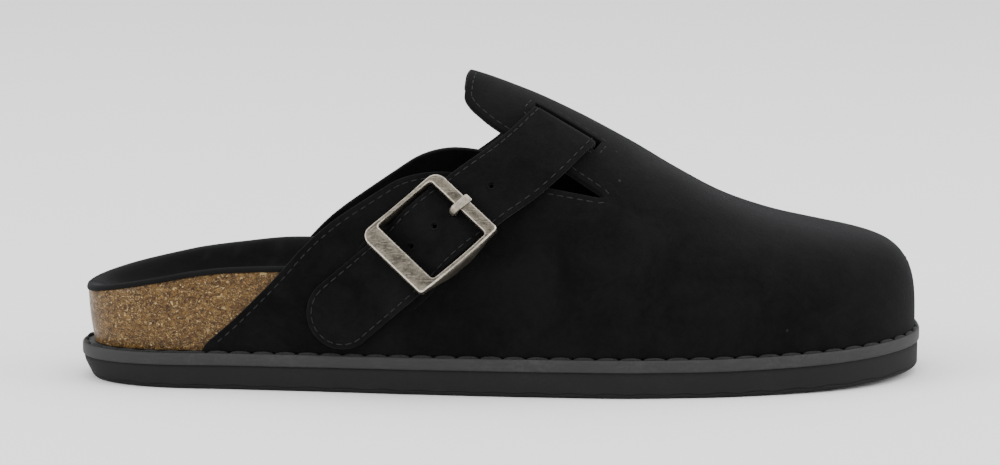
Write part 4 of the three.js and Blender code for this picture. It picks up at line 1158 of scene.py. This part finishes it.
def top_inset(angle):
    """How far the top of the footbed stands in from the sole's edge."""
    along = along_of(angle)
    inner = (np.sin(angle) < 0) * 1.0
    rise = (rim_height(along, inner) - seat(along)) / (INSTEP * crest_height(along))
    power = crest_square(along)
    reach = (1 - np.clip(rise, 0, 1) ** power) ** (1 / power)
    lean = (1 - reach) * np.abs(outline(angle)[:, 1] - crest_shift(along) * BALL_WIDTH)
    heel = np.clip(1 - along / RIM_FLARE_END, 0, 1)
    return FOOTBED_INSET + mix(FOOTBED_CLEARANCE + lean, -RIM_FLARE, heel)


def footbed_ring(angle, reach, share, lift):
    along = along_of(angle)
    inner = (np.sin(angle) < 0) * 1.0
    height = mix(floor_height(along), rim_height(along, inner), share) + lift
    return np.concatenate([rim(angle, top_inset(angle) + reach), height[:, None]], 1)


def toward_middle(ring, share):
    along = ring[:, 0] / LENGTH
    x = LENGTH * mix(along, 0.5, 0.28 * share)
    y = mix(ring[:, 1], centre_line(along), share)
    return np.stack([x, y, ring[:, 2]], -1)


def across_cup(ring):
    """Rings that carry a ring over the floor of the cup to its middle line."""
    return [toward_middle(ring, share) for share in (0.0, 0.12, 0.25, 0.4, 0.55, 0.7, 0.85, 0.96, 1.0)]


def build_cork():
    """The cork body, bare at the heel, with a softly rounded upper edge."""
    angle = foot_angles(360)
    along = along_of(angle)
    foot = np.concatenate([rim(angle, np.full_like(angle, FOOTBED_INSET)), seat(along)[:, None]], 1)
    top = footbed_ring(angle, 0.0, 1.0, 0.0)
    edge = RIM_ROUND / 2
    low = mix(foot, toward_middle(foot, 1.0), 0.5)
    low[:, 2] = seat(along)
    rings = [low, foot]
    for t in (0.03, 0.12, 0.3, 0.5, 0.7, 0.88):
        belly = 0.35 * math.sin(math.pi * t)
        outward = unit(foot[:, :2] - rim(angle, np.full_like(angle, FOOTBED_INSET + 1)))
        row = mix(foot, top, t)
        row[:, :2] += outward * belly
        row[:, 2] = mix(foot[:, 2], top[:, 2] - edge, t)
        rings.append(row)
    rings += [top - (0, 0, edge), footbed_ring(angle, 0.35, 1.0, -0.15), footbed_ring(angle, RIM_ROUND, 0.97, 0)]
    rings.append(footbed_ring(angle, RIM_WIDTH, 0.93, 0))
    rings += across_cup(footbed_ring(angle, RIM_WIDTH + RIM_SLOPE_WIDTH, 0.08, 0))
    bm = skin(np.array(rings), around=True)
    close_ends(bm)
    return finished("cork_body", bm, shoe_material("cork"), ("cork_footbed",), 50)


def build_insole():
    """The suede lining: rounded at its rim, down the cup's wall to the floor, with a soft crease and painted light that
    lightens its upward-facing floor.
    """
    angle = foot_angles(300)
    t_profile = ((0.0, 1.0), (1.1, 0.985), (2.2, 0.96), (3.4, 0.9), (5.0, 0.74), (6.6, 0.53), (8.4, 0.3),
                 (10.0, 0.13), (11.0, 0.055), (11.6, 0.03), (12.6, 0.035), (14.0, 0.045))
    edge = [footbed_ring(angle, -0.35, 1.0, -0.35), footbed_ring(angle, -0.55, 1.0, 0.25),
            footbed_ring(angle, -0.4, 1.0, 0.85), footbed_ring(angle, 0.1, 1.0, 1.25)]
    low, high = ([footbed_ring(angle, reach + 0.5, share, lift) for reach, share in t_profile]
                 for lift in (GAP, GAP + LINING))
    high = high[:-1] + across_cup(high[-1])
    # Painted light: these values lighten the suede colour of the cup's floor rings, where the floor faces up.
    wear_and_light = [0.0] * 7 + [0.3, 0.8] + [1.0] * (len(high) - 9)
    rings = (low[:-1] + across_cup(low[-1]))[::-1] + edge + high
    bm = skin(np.array(rings), around=True)
    wear_and_light_by_place(bm, high, wear_and_light)
    close_ends(bm)
    return finished("insole_lining", bm, shoe_material("lining_suede"), ("insole",), 60)


# Upper


def creased(along, turn):
    """The depth of the soft creases at places on the upper, in millimetres."""
    depth = np.zeros_like(along)
    spots = np.stack([along * LENGTH, turn * TURN_REACH], -1)
    for start, end, width, amount in CREASES:
        a = np.array((start[0] * LENGTH, start[1] * TURN_REACH))
        b = np.array((end[0] * LENGTH, end[1] * TURN_REACH))
        side = b - a
        t = np.clip(((spots - a) @ side) / (side @ side), 0, 1)
        away = np.linalg.norm(spots - a - t[..., None] * side, axis=-1)
        depth += amount * np.exp(-(away / width) ** 2)
    return depth


def passage(points, run):
    """Signed distance from the strap's way through the upper at a run: above zero outside it."""
    origin = on_strap(run, 0, 0)
    ahead = unit(on_strap(run + 1, 0, 0) - on_strap(run - 1, 0, 0))
    side = unit(on_strap(run, 1, 0) - on_strap(run, -1, 0))
    away = points - origin
    here = np.abs(away @ np.cross(ahead, side)) < STRAP_WIDTH / 2
    a = np.abs(away @ ahead) - SLOT_WIDTH / 2
    b = np.abs(away @ side) - (STRAP_WIDTH / 2 + SLOT_CLEARANCE)
    beyond = np.linalg.norm(np.stack([np.maximum(a, 0), np.maximum(b, 0)], -1), axis=-1)
    flat = np.maximum(a, b)
    return np.where(here, np.where(flat > 0, beyond, flat), STRAP_WIDTH)


EDGE_REACH = 0.6


def upper_distance(points):
    """How far places on the upper are inside its cut edges, in millimetres."""
    flat = points[:, [0, 2]]
    outer = outside(flat, collar_polygon(OUTER_QUARTER, OUTER_TONGUE))
    inner = outside(flat, collar_polygon(INNER_QUARTER, INNER_TONGUE))
    middle = crest_shift(OUTER_TONGUE[0][0]) * BALL_WIDTH
    d = mix(outer, inner, ease(points[:, 1] - middle, -5, 5))
    d = np.minimum(d, passage(points, SLOT_PLACE))
    return np.minimum(d, passage(points, NOTCH_PLACE)) - EDGE_REACH


ROUND_EDGE = ((0.28, 0.06), (0.5, 0.3), (0.6, 0.7), (0.6, 1.15), (0.6, 1.6), (0.5, 2.0), (0.28, 2.24))
UPPER_RAISE = 0.5


def build_upper():
    """The suede upper: one shell with its collar, tongue, notch and strap slot cut clean."""
    stations, turns = 170, 176
    u = np.linspace(0, 1, stations)
    along = mix(SHELL_START, 1.0, np.sin(u * HALF_PI))
    turn = np.linspace(0, 2, turns + 1)
    a, t = np.meshgrid(along, turn, indexing="ij")
    shares = np.stack([a.ravel(), t.ravel()], -1)

    def surface(s):
        spots = upper_point(s[:, 0], s[:, 1])
        depth = creased(s[:, 0], s[:, 1])
        low = np.minimum(s[:, 1], 2 - s[:, 1])
        spots = spots - upper_slopes(np.clip(s[:, 0], 0.01, 0.985), s[:, 1])[2] * (depth * ease(low, 0.02, 0.2))[:, None]
        spots[:, 2] += UPPER_RAISE * (1 - ease(low, 0.0, 0.05))
        return spots

    bm = bmesh.new()
    bmesh.ops.create_grid(bm, x_segments=turns, y_segments=stations - 1, size=1)
    trimmed(bm, shares, surface, upper_distance)
    bmesh.ops.reverse_faces(bm, faces=bm.faces)
    bmesh.ops.remove_doubles(bm, verts=bm.verts, dist=0.02 * MM)
    rims = wall(bm, UPPER_WALL, ROUND_EDGE)
    finished("upper_shell", bm, shoe_material("upper_suede"), ("upper",), 50, False)
    detail = bpy.context.scene.clog_detail
    frames = []
    for points, ways, normals in rims:
        frames += frames_on(points, ways, normals, detail.stitch_pitch / MM, detail.stitch_inset / MM - EDGE_REACH,
                            -0.04, lambda p: p[2] > seat(p[0] / LENGTH) + 4)
    stitches = copies(stitch_shape(detail.stitch_pitch / MM * 0.76, 0.46, 0.4), frames)
    finished("upper_stitches", stitches, shoe_material("edge_thread"), (), 60)


# Strap


STRAP_EDGE = ((0.25, 0.05), (0.45, 0.26), (0.52, 0.6), (0.5, 1.1), (0.36, 1.33), (0.36, 1.47), (0.5, 1.7),
              (0.52, 2.2), (0.45, 2.54), (0.25, 2.75))


def strap_distance(spots):
    """Signed distance inside the strap's flat outline, with its round free end and its holes."""
    run, across = spots[:, 0], spots[:, 1]
    half = STRAP_WIDTH / 2 - 0.5
    middle = STRAP_START + STRAP_WIDTH / 2
    along = middle - run
    body = half - np.abs(across)
    tip = half - np.hypot(np.maximum(along, 0), across)
    d = np.where(along > 0, tip, body)
    for hole in HOLES:
        d = np.minimum(d, np.hypot(run - hole[0], across - hole[1]) - 1.2)
    start, end = PRONG_HOLE
    d = np.minimum(d, np.hypot((run - (start + end) / 2) * 0.62, across) - 1.5)
    return d


def build_strap():
    """The strap: one thick suede sheet over the buckle and through the slot, bored and sewn."""
    rows = round((STRAP_END - STRAP_START) / 0.8)
    lanes = 34
    run = np.linspace(STRAP_START + 0.4, STRAP_END, rows)
    across = np.linspace(-STRAP_WIDTH / 2 + 0.2, STRAP_WIDTH / 2 - 0.2, lanes)
    r, c = np.meshgrid(run, across, indexing="ij")
    shares = np.stack([r.ravel(), c.ravel()], -1)

    def surface(s):
        inside = np.clip(strap_distance(s), 0, None)
        pad = 0.3 * (1 - np.exp(-inside / 0.9)) - 0.14 * np.exp(-(((inside - 1.3) / 0.55) ** 2))
        lift = strap_lift(s[:, 0], s[:, 1]) + STRAP_THICKNESS - 0.25 + pad
        return on_strap(s[:, 0], s[:, 1], lift)

    bm = bmesh.new()
    bmesh.ops.create_grid(bm, x_segments=lanes - 1, y_segments=rows - 1, size=1)
    trimmed(bm, shares, surface, strap_distance, lambda s: s)
    bmesh.ops.reverse_faces(bm, faces=bm.faces)
    bmesh.ops.remove_doubles(bm, verts=bm.verts, dist=0.02 * MM)
    wall(bm, STRAP_THICKNESS, STRAP_EDGE)
    finished("strap_suede", bm, shoe_material("strap_suede"), ("strap",), 60, False)
    build_strap_stitches()
    build_hole_rims()


def strap_frame(run, across, ahead_run, ahead_across, lift):
    """Origin and axes of something small lying on the strap."""
    step = 0.4
    top = strap_lift(run, across) + STRAP_THICKNESS + lift
    origin = on_strap(run, across, top)
    front = on_strap(run + ahead_run * step, across + ahead_across * step,
                     strap_lift(run + ahead_run * step, across + ahead_across * step) + STRAP_THICKNESS + lift)
    side = on_strap(run - ahead_across * step, across + ahead_run * step,
                    strap_lift(run - ahead_across * step, across + ahead_run * step) + STRAP_THICKNESS + lift)
    ahead = unit(front - origin)
    up = unit(np.cross(ahead, side - origin))
    return origin, Vector(ahead), Vector(np.cross(up, ahead)), Vector(up)


def build_strap_stitches():
    detail = bpy.context.scene.clog_detail
    pitch = detail.stitch_pitch / MM
    half = STRAP_WIDTH / 2 - detail.strap_row_inset / MM
    middle = STRAP_START + STRAP_WIDTH / 2
    frames = []
    count = int((STRAP_END - middle - 2) / pitch)
    for k in range(count):
        run = middle + (k + 0.5) * pitch
        for side in (-1, 1):
            frames.append(strap_frame(run, side * half, 1.0, 0.0, 0.0))
    turns = round(math.pi * half / pitch)
    for k in range(turns):
        angle = HALF_PI + (k + 0.5) * math.pi / turns
        frames.append(strap_frame(middle + half * math.cos(angle), half * math.sin(angle),
                                  -math.sin(angle), math.cos(angle), 0.0))
    bm = copies(stitch_shape(pitch * 0.76, 0.44, 0.36), frames)
    return finished("strap_stitches", bm, shoe_material("edge_thread"), (), 60)


def build_hole_rims():
    """The pressed lip round each punched hole."""
    frames = [strap_frame(*hole, 1.0, 0.0, -0.02) for hole in HOLES]
    turns = foot_angles(24)
    profile = ((1.08, -1.2), (1.1, -0.25), (1.2, -0.05), (1.4, 0.04), (1.65, -0.05), (1.8, -0.3))
    bm = bmesh.new()
    for origin, ahead, side, up in frames:
        rows = [[origin + np.array(ahead) * (radius * math.cos(t)) + np.array(side) * (radius * math.sin(t))
                 + np.array(up) * height for t in turns] for radius, height in profile]
        ring = skin(np.array(rows), around=True)
        part = bpy.data.meshes.new("lip")
        ring.to_mesh(part)
        ring.free()
        bm.from_mesh(part)
        bpy.data.meshes.remove(part)
    return finished("hole_lips", bm, shoe_material("strap_suede"), (), 60)


# Buckle


def rounded_loop(back, front, half, corners, side_count=26, corner_count=8, bow=0.0):
    """Points round a rectangle with bowed sides, in run and across: inner corners round, outer ones sharp."""
    points = []
    high, low = corners
    centres = ((front - high, half - high, high), (back + high, half - high, high),
               (back + low, low - half, low), (front - low, low - half, low))
    for quarter, (x, y, corner) in enumerate(centres):
        for k in range(corner_count + 1):
            angle = (quarter + k / corner_count) * HALF_PI
            points.append((x + corner * math.cos(angle), y + corner * math.sin(angle)))
        x2, y2, corner2 = centres[(quarter + 1) % 4]
        angle = (quarter + 1) * HALF_PI
        start = points[-1]
        end = (x2 + corner2 * math.cos(angle), y2 + corner2 * math.sin(angle))
        points += [(mix(start[0], end[0], k / side_count), mix(start[1], end[1], k / side_count))
                   for k in range(1, side_count)]
    points = np.array(points)
    run, across = points.T
    belly = 1 - np.clip((run - (front + back) / 2) / ((front - back) / 2), -1, 1) ** 2
    points[:, 1] += np.sign(across) * bow * belly * (np.abs(across) > half - low)
    return points


# Per-vertex values: real edge wear on the buckle, painted light on the lining's floor.
def with_wear_and_light(bm, wear_and_light):
    layer = bm.verts.layers.float.new("wear_and_light")
    for vert, value in zip(bm.verts, wear_and_light):
        vert[layer] = value


def wear_and_light_by_place(bm, rings, wear_and_light_values):
    """Gives each vert the value of the ring that it was made from: real wear on the buckle, painted light on the
    lining's floor.
    """
    spots = {tuple(np.round(p, 7)): w for ring, w in zip(rings, wear_and_light_values) for p in placed(ring)}
    with_wear_and_light(bm, [float(spots.get(tuple(np.round(np.array(v.co[:]), 7)), 0.3)) for v in bm.verts])


def build_buckle_frame():
    """The frame: flat front and back bars, slim side bars that dip to the hinge bar."""
    back, front = -FRAME_LENGTH / 2, FRAME_LENGTH / 2
    half = FRAME_WIDTH / 2
    top, low = FRAME_LIFT + FRAME_DEPTH, FRAME_LIFT
    rows = (
        # out from the outer edge or in from the inner edge, height share, wear, which edge
        (0.35, 0.0, 0.1, 0), (0.1, 0.05, 0.1, 0), (0.0, 0.16, 0.1, 0), (0.0, 0.55, 0.15, 0), (0.0, 0.8, 0.5, 0),
        (0.12, 0.93, 1.0, 0), (0.4, 1.0, 0.8, 0), (0.6, 0.985, 0.1, 0),
        (0.5, 0.5, 0.0, 2),
        (0.6, 0.985, 0.1, 1), (0.4, 1.0, 0.8, 1), (0.12, 0.93, 1.0, 1), (0.0, 0.8, 0.5, 1), (0.0, 0.4, 0.1, 1),
        (0.1, 0.08, 0.0, 1), (0.4, 0.0, 0.0, 1),
    )
    outer = [rounded_loop(back + i, front - i, half - i, (4.0 - i, 1.5 - i), bow=0.35)
             for i in (0, 0.1, 0.12, 0.35, 0.4, 0.6)]
    outer = dict(zip((0.0, 0.1, 0.12, 0.35, 0.4, 0.6), outer))
    inner_keys = (0.0, 0.1, 0.12, 0.4, 0.6)
    inner = {i: rounded_loop(back + BACK_BAR - i, front - FRONT_BAR + i, half - SIDE_BAR + i, (1.1 + i, 1.1 + i))
             for i in inner_keys}
    rings = []
    for inset, share, wear, edge in rows:
        if edge == 2:
            plane = (outer[0.6] + inner[0.6]) / 2
            share = 1.0
        else:
            plane = outer[inset] if edge == 0 else inner[inset]
        run, across = plane[:, 0], plane[:, 1]
        dip = 4.9 * (1 - ease(np.abs(run), LOOP_OUTER, front - 1.6))
        on_side = ease(np.abs(across), half - SIDE_BAR - 1.5, half - SIDE_BAR - 0.1)
        height = mix(low, top, share) - dip * on_side * (1 - np.clip(share, 0, 1) * 0.85)
        rings.append(laid_on_buckle(run, across, height))
    bm = skin(np.array(rings)[::-1], around=True, along=True)
    wear_and_light_by_place(bm, rings, [row[2] for row in rows])
    return finished("buckle_frame_nickel", bm, shoe_material("antique_nickel"), ("buckle_frame",), 35)


def tube(points, widths, depths, segments=16, square=3.2, laid=laid_on_buckle):
    """A bar of soft-cornered section through points given in run, across and lift."""
    points = np.array(points, float)
    ahead = unit(np.gradient(points, axis=0))
    side = np.tile((0.0, 1.0, 0.0), (len(points), 1))
    up = unit(np.cross(ahead, side))
    angle = foot_angles(segments)
    c, s = np.cos(angle), np.sin(angle)
    radius = (np.abs(c) ** square + np.abs(s) ** square) ** (-1 / square)
    rings = []
    for p, b, n, w, d in zip(points, side, up, widths, depths):
        ring = p + np.outer(radius * c * w / 2, b) + np.outer(radius * s * d / 2, n)
        rings.append(laid(ring[:, 0], ring[:, 1], ring[:, 2]))
    return skin(np.array(rings), around=True)


def laid_on_tab(run, across, lift):
    """The tab lies on the upper at its sewn end and follows the buckle at its fold."""
    low = on_strap(run, across, lift)
    return mix(low, laid_on_buckle(run, across, lift), ease(run, -10.0, -2.0)[..., None])


def build_prong():
    """The prong: an eye on the hinge bar, a shank under the strap, and a nose over the front bar."""
    over = FRAME_LIFT + FRAME_DEPTH + 0.35
    beneath = on_strap(9.0, 0.0, strap_lift(np.array(9.0), np.array(0.0)))
    under = float(over_buckle(beneath)) - GAP - PRONG_THICKNESS / 2
    eye = LOOP_INNER + 0.7
    points = [(-0.6, 0, HINGE_HEIGHT - eye), (0.6, 0, HINGE_HEIGHT - eye * 0.95), (1.8, 0, HINGE_HEIGHT - eye * 0.45),
              (3.2, 0, HINGE_HEIGHT - 0.2)]
    points += [(5.5, 0, mix(HINGE_HEIGHT, under, 0.5)), (8.0, 0, under), (9.3, 0, under + 0.9), (9.9, 0, under + 2.4)]
    points += [(10.7, 0, over - 2.2), (11.1, 0, over - 1.0), (11.9, 0, over - 0.1), (12.9, 0, over + 0.2),
               (14.5, 0, over + 0.05), (16.6, 0, over), (17.4, 0, over - 0.1), (17.9, 0, over - 0.3)]
    widths = [2.4, 3.0, 3.2, 3.2, 3.2, 3.2, 2.6, 2.5, 2.6, 2.8, 2.8, 2.9, 3.0, 3.0, 3.0, 2.6]
    depths = [0.8, 1.0, 1.2, 1.4, 1.5, 1.5, 1.6, 1.9, 2.3, 2.5, 2.0, 1.2, 0.9, 0.8, 0.7, 0.5]
    bm = tube(points, widths, depths)
    close_ends(bm)
    with_wear_and_light(bm, [0.35] * len(bm.verts))
    return finished("buckle_prong_nickel", bm, shoe_material("antique_nickel"), ("buckle_prong",), 50)


def build_hinge_bar():
    length = FRAME_WIDTH - SIDE_BAR
    steps = np.linspace(-length / 2, length / 2, 13)
    angle = foot_angles(14)
    rings = [laid_on_buckle(HINGE_RADIUS * np.cos(angle), np.full(14, s), HINGE_HEIGHT + HINGE_RADIUS * np.sin(angle))
             for s in steps]
    bm = skin(np.array(rings), around=True)
    close_ends(bm)
    with_wear_and_light(bm, [0.2] * len(bm.verts))
    return finished("hinge_bar_nickel", bm, shoe_material("antique_nickel"), ("buckle_hinge_bar",), 50)


def build_tab():
    """The tab that holds the hinge bar: laid on the quarter under the strap."""
    fold = [(-TAB_LENGTH, 0, GAP + 0.5), (-20, 0, GAP + 0.5), (-16, 0, GAP + 0.5), (-12, 0, GAP + 0.5), (-8, 0, GAP + 0.5),
            (-4, 0, GAP + 0.5), (-1.5, 0, GAP + 0.5)]
    ring = LOOP_INNER + TAB_THICKNESS / 2
    for k in range(1, 8):
        angle = -HALF_PI + k * math.pi / 8
        fold.append((ring * math.cos(angle), 0, HINGE_HEIGHT + ring * math.sin(angle)))
    fold += [(-0.4, 0, HINGE_HEIGHT + ring - 0.1), (-3.0, 0, 3.9), (-6.0, 0, 2.7), (-9.6, 0, 1.9)]
    widths = [25.5, 28, 28, 27, 24, 23.6, 23.4] + [23.2] * 7 + [23.2, 23.2, 23.2, 22.5]
    depths = [0.6] + [TAB_THICKNESS] * 16 + [0.4]
    bm = tube(fold, widths, depths, 24, 6.0, laid_on_tab)
    close_ends(bm)
    return finished("buckle_tab_suede", bm, shoe_material("strap_suede"), ("buckle_tab",), 60)


# Operators


class CLOG_OT_sole(bpy.types.Operator):
    """Builds the outsole, the welt and its stitches."""

    bl_idname = "clog.sole"
    bl_label = "Sole and welt"

    def execute(self, context):
        build_outsole()
        build_welt()
        build_welt_stitches()
        return {"FINISHED"}


class CLOG_OT_footbed(bpy.types.Operator):
    """Builds the cork body and its suede lining."""

    bl_idname = "clog.footbed"
    bl_label = "Footbed"

    def execute(self, context):
        build_cork()
        build_insole()
        return {"FINISHED"}


class CLOG_OT_upper(bpy.types.Operator):
    """Builds the upper and its edge stitches."""

    bl_idname = "clog.upper"
    bl_label = "Upper"

    def execute(self, context):
        build_upper()
        return {"FINISHED"}


class CLOG_OT_strap(bpy.types.Operator):
    """Builds the strap, its stitches and the lips of its holes."""

    bl_idname = "clog.strap"
    bl_label = "Strap"

    def execute(self, context):
        build_strap()
        return {"FINISHED"}


class CLOG_OT_buckle(bpy.types.Operator):
    """Builds the buckle's frame, prong, hinge bar and tab."""

    bl_idname = "clog.buckle"
    bl_label = "Buckle"

    def execute(self, context):
        build_buckle_frame()
        build_prong()
        build_hinge_bar()
        build_tab()
        return {"FINISHED"}


class CLOG_OT_stage(bpy.types.Operator):
    """Sets the camera, the pale floor and soft studio light."""

    bl_idname = "clog.stage"
    bl_label = "Stage"

    def execute(self, context):
        build_camera(context)
        build_floor(context)
        build_lights(context)
        return {"FINISHED"}


# The camera's place about the point over the middle of the sole that it looks at.
CAMERA_DISTANCE = 1.3853
CAMERA_ELEVATION = math.radians(8.691)
CAMERA_TURN = math.radians(-0.674)
CAMERA_ROLL = math.radians(-0.156)
CAMERA_AIM = Vector((0, 0, 0.045))
CAMERA_SHIFT = (-0.0019, 0.0087)


def build_camera(context):
    data = bpy.data.cameras.new("studio_camera")
    data.sensor_width = 36
    data.lens = context.scene.clog_detail.camera_lens
    data.shift_x, data.shift_y = CAMERA_SHIFT
    data.clip_start = 0.05
    camera = bpy.data.objects.new("studio_camera", data)
    context.scene.collection.objects.link(camera)
    flat = math.cos(CAMERA_ELEVATION)
    back = Vector((math.sin(CAMERA_TURN) * flat, -math.cos(CAMERA_TURN) * flat, math.sin(CAMERA_ELEVATION)))
    camera.location = CAMERA_AIM + back * CAMERA_DISTANCE
    turn = (-back).to_track_quat("-Z", "Y").to_matrix() @ Matrix.Rotation(CAMERA_ROLL, 3, "Z")
    camera.rotation_euler = turn.to_euler()
    context.scene.camera = camera


def build_floor(context):
    bm = bmesh.new()
    bmesh.ops.create_grid(bm, x_segments=8, y_segments=8, size=6)
    mesh = bpy.data.meshes.new("studio_floor")
    bm.to_mesh(mesh)
    bm.free()
    floor = bpy.data.objects.new("studio_floor", mesh)
    context.scene.collection.objects.link(floor)
    material, tree, shader, place = new_material("studio_paper")
    tooth = noise(tree, place, 900.0, 2.0, 0.5)
    tree.links.new(shader.inputs["Base Color"],
                   tinted(tree, ranged(tree, tooth, 0.3, 0.7), (0.93, 0.93, 0.93, 1), (0.95, 0.95, 0.95, 1)))
    shader.inputs["Roughness"].default_value = 0.9
    shader.inputs["Specular IOR Level"].default_value = 0.1
    mesh.materials.append(material)


# Soft boxes: name, place, aim, size across and down in metres, and power in watts.
LIGHTS = (
    ("top_box", (0.1, 0.15, 1.5), (0, 0, 0), (1.6, 1.2), 12.0),
    ("left_box", (-1.5, -0.7, 0.9), (0, 0, 0.05), (1.0, 1.0), 15.0),
    ("right_box", (1.6, -0.3, 0.8), (0, 0, 0.05), (1.0, 1.0), 15.0),
    ("front_box", (0.1, -1.7, 0.9), (0, 0, 0.05), (1.6, 0.8), 2.0),
)


def build_lights(context):
    for name, place, aim, size, power in LIGHTS:
        data = bpy.data.lights.new(name, "AREA")
        data.shape = "RECTANGLE"
        data.size, data.size_y = size
        data.energy = power
        light = bpy.data.objects.new(name, data)
        light.location = place
        light.rotation_euler = (Vector(aim) - Vector(place)).to_track_quat("-Z", "Y").to_euler()
        context.scene.collection.objects.link(light)
    world = bpy.data.worlds.new("studio_world")
    world.use_nodes = True
    world.node_tree.nodes["Background"].inputs["Color"].default_value = (1, 1, 1, 1)
    world.node_tree.nodes["Background"].inputs["Strength"].default_value = 1.3
    context.scene.world = world


class CLOG_PT_panel(bpy.types.Panel):
    """Lists the clog's pieces, sizes and colours."""

    bl_idname = "CLOG_PT_panel"
    bl_label = "Clog"
    bl_space_type = "VIEW_3D"
    bl_region_type = "UI"
    bl_category = "Clog"

    def draw(self, context):
        for operator in OPERATORS:
            self.layout.operator(operator.bl_idname)
        for settings in (context.scene.clog_detail, context.scene.clog_finish):
            for name in settings.bl_rna.properties.keys():
                if name not in ("rna_type", "name"):
                    self.layout.prop(settings, name)


OPERATORS = (CLOG_OT_stage, CLOG_OT_sole, CLOG_OT_footbed, CLOG_OT_upper, CLOG_OT_strap, CLOG_OT_buckle)
CLASSES = (ClogFinish, ClogDetail) + OPERATORS + (CLOG_PT_panel,)


def register():
    for cls in CLASSES:
        bpy.utils.register_class(cls)
    bpy.types.Scene.clog_finish = bpy.props.PointerProperty(type=ClogFinish)
    bpy.types.Scene.clog_detail = bpy.props.PointerProperty(type=ClogDetail)


def unregister():
    del bpy.types.Scene.clog_detail
    del bpy.types.Scene.clog_finish
    for cls in reversed(CLASSES):
        bpy.utils.unregister_class(cls)


def main():
    register()
    bpy.ops.clog.stage()
    bpy.ops.clog.sole()
    bpy.ops.clog.footbed()
    bpy.ops.clog.upper()
    bpy.ops.clog.strap()
    bpy.ops.clog.buckle()


if __name__ == "__main__":
    main()
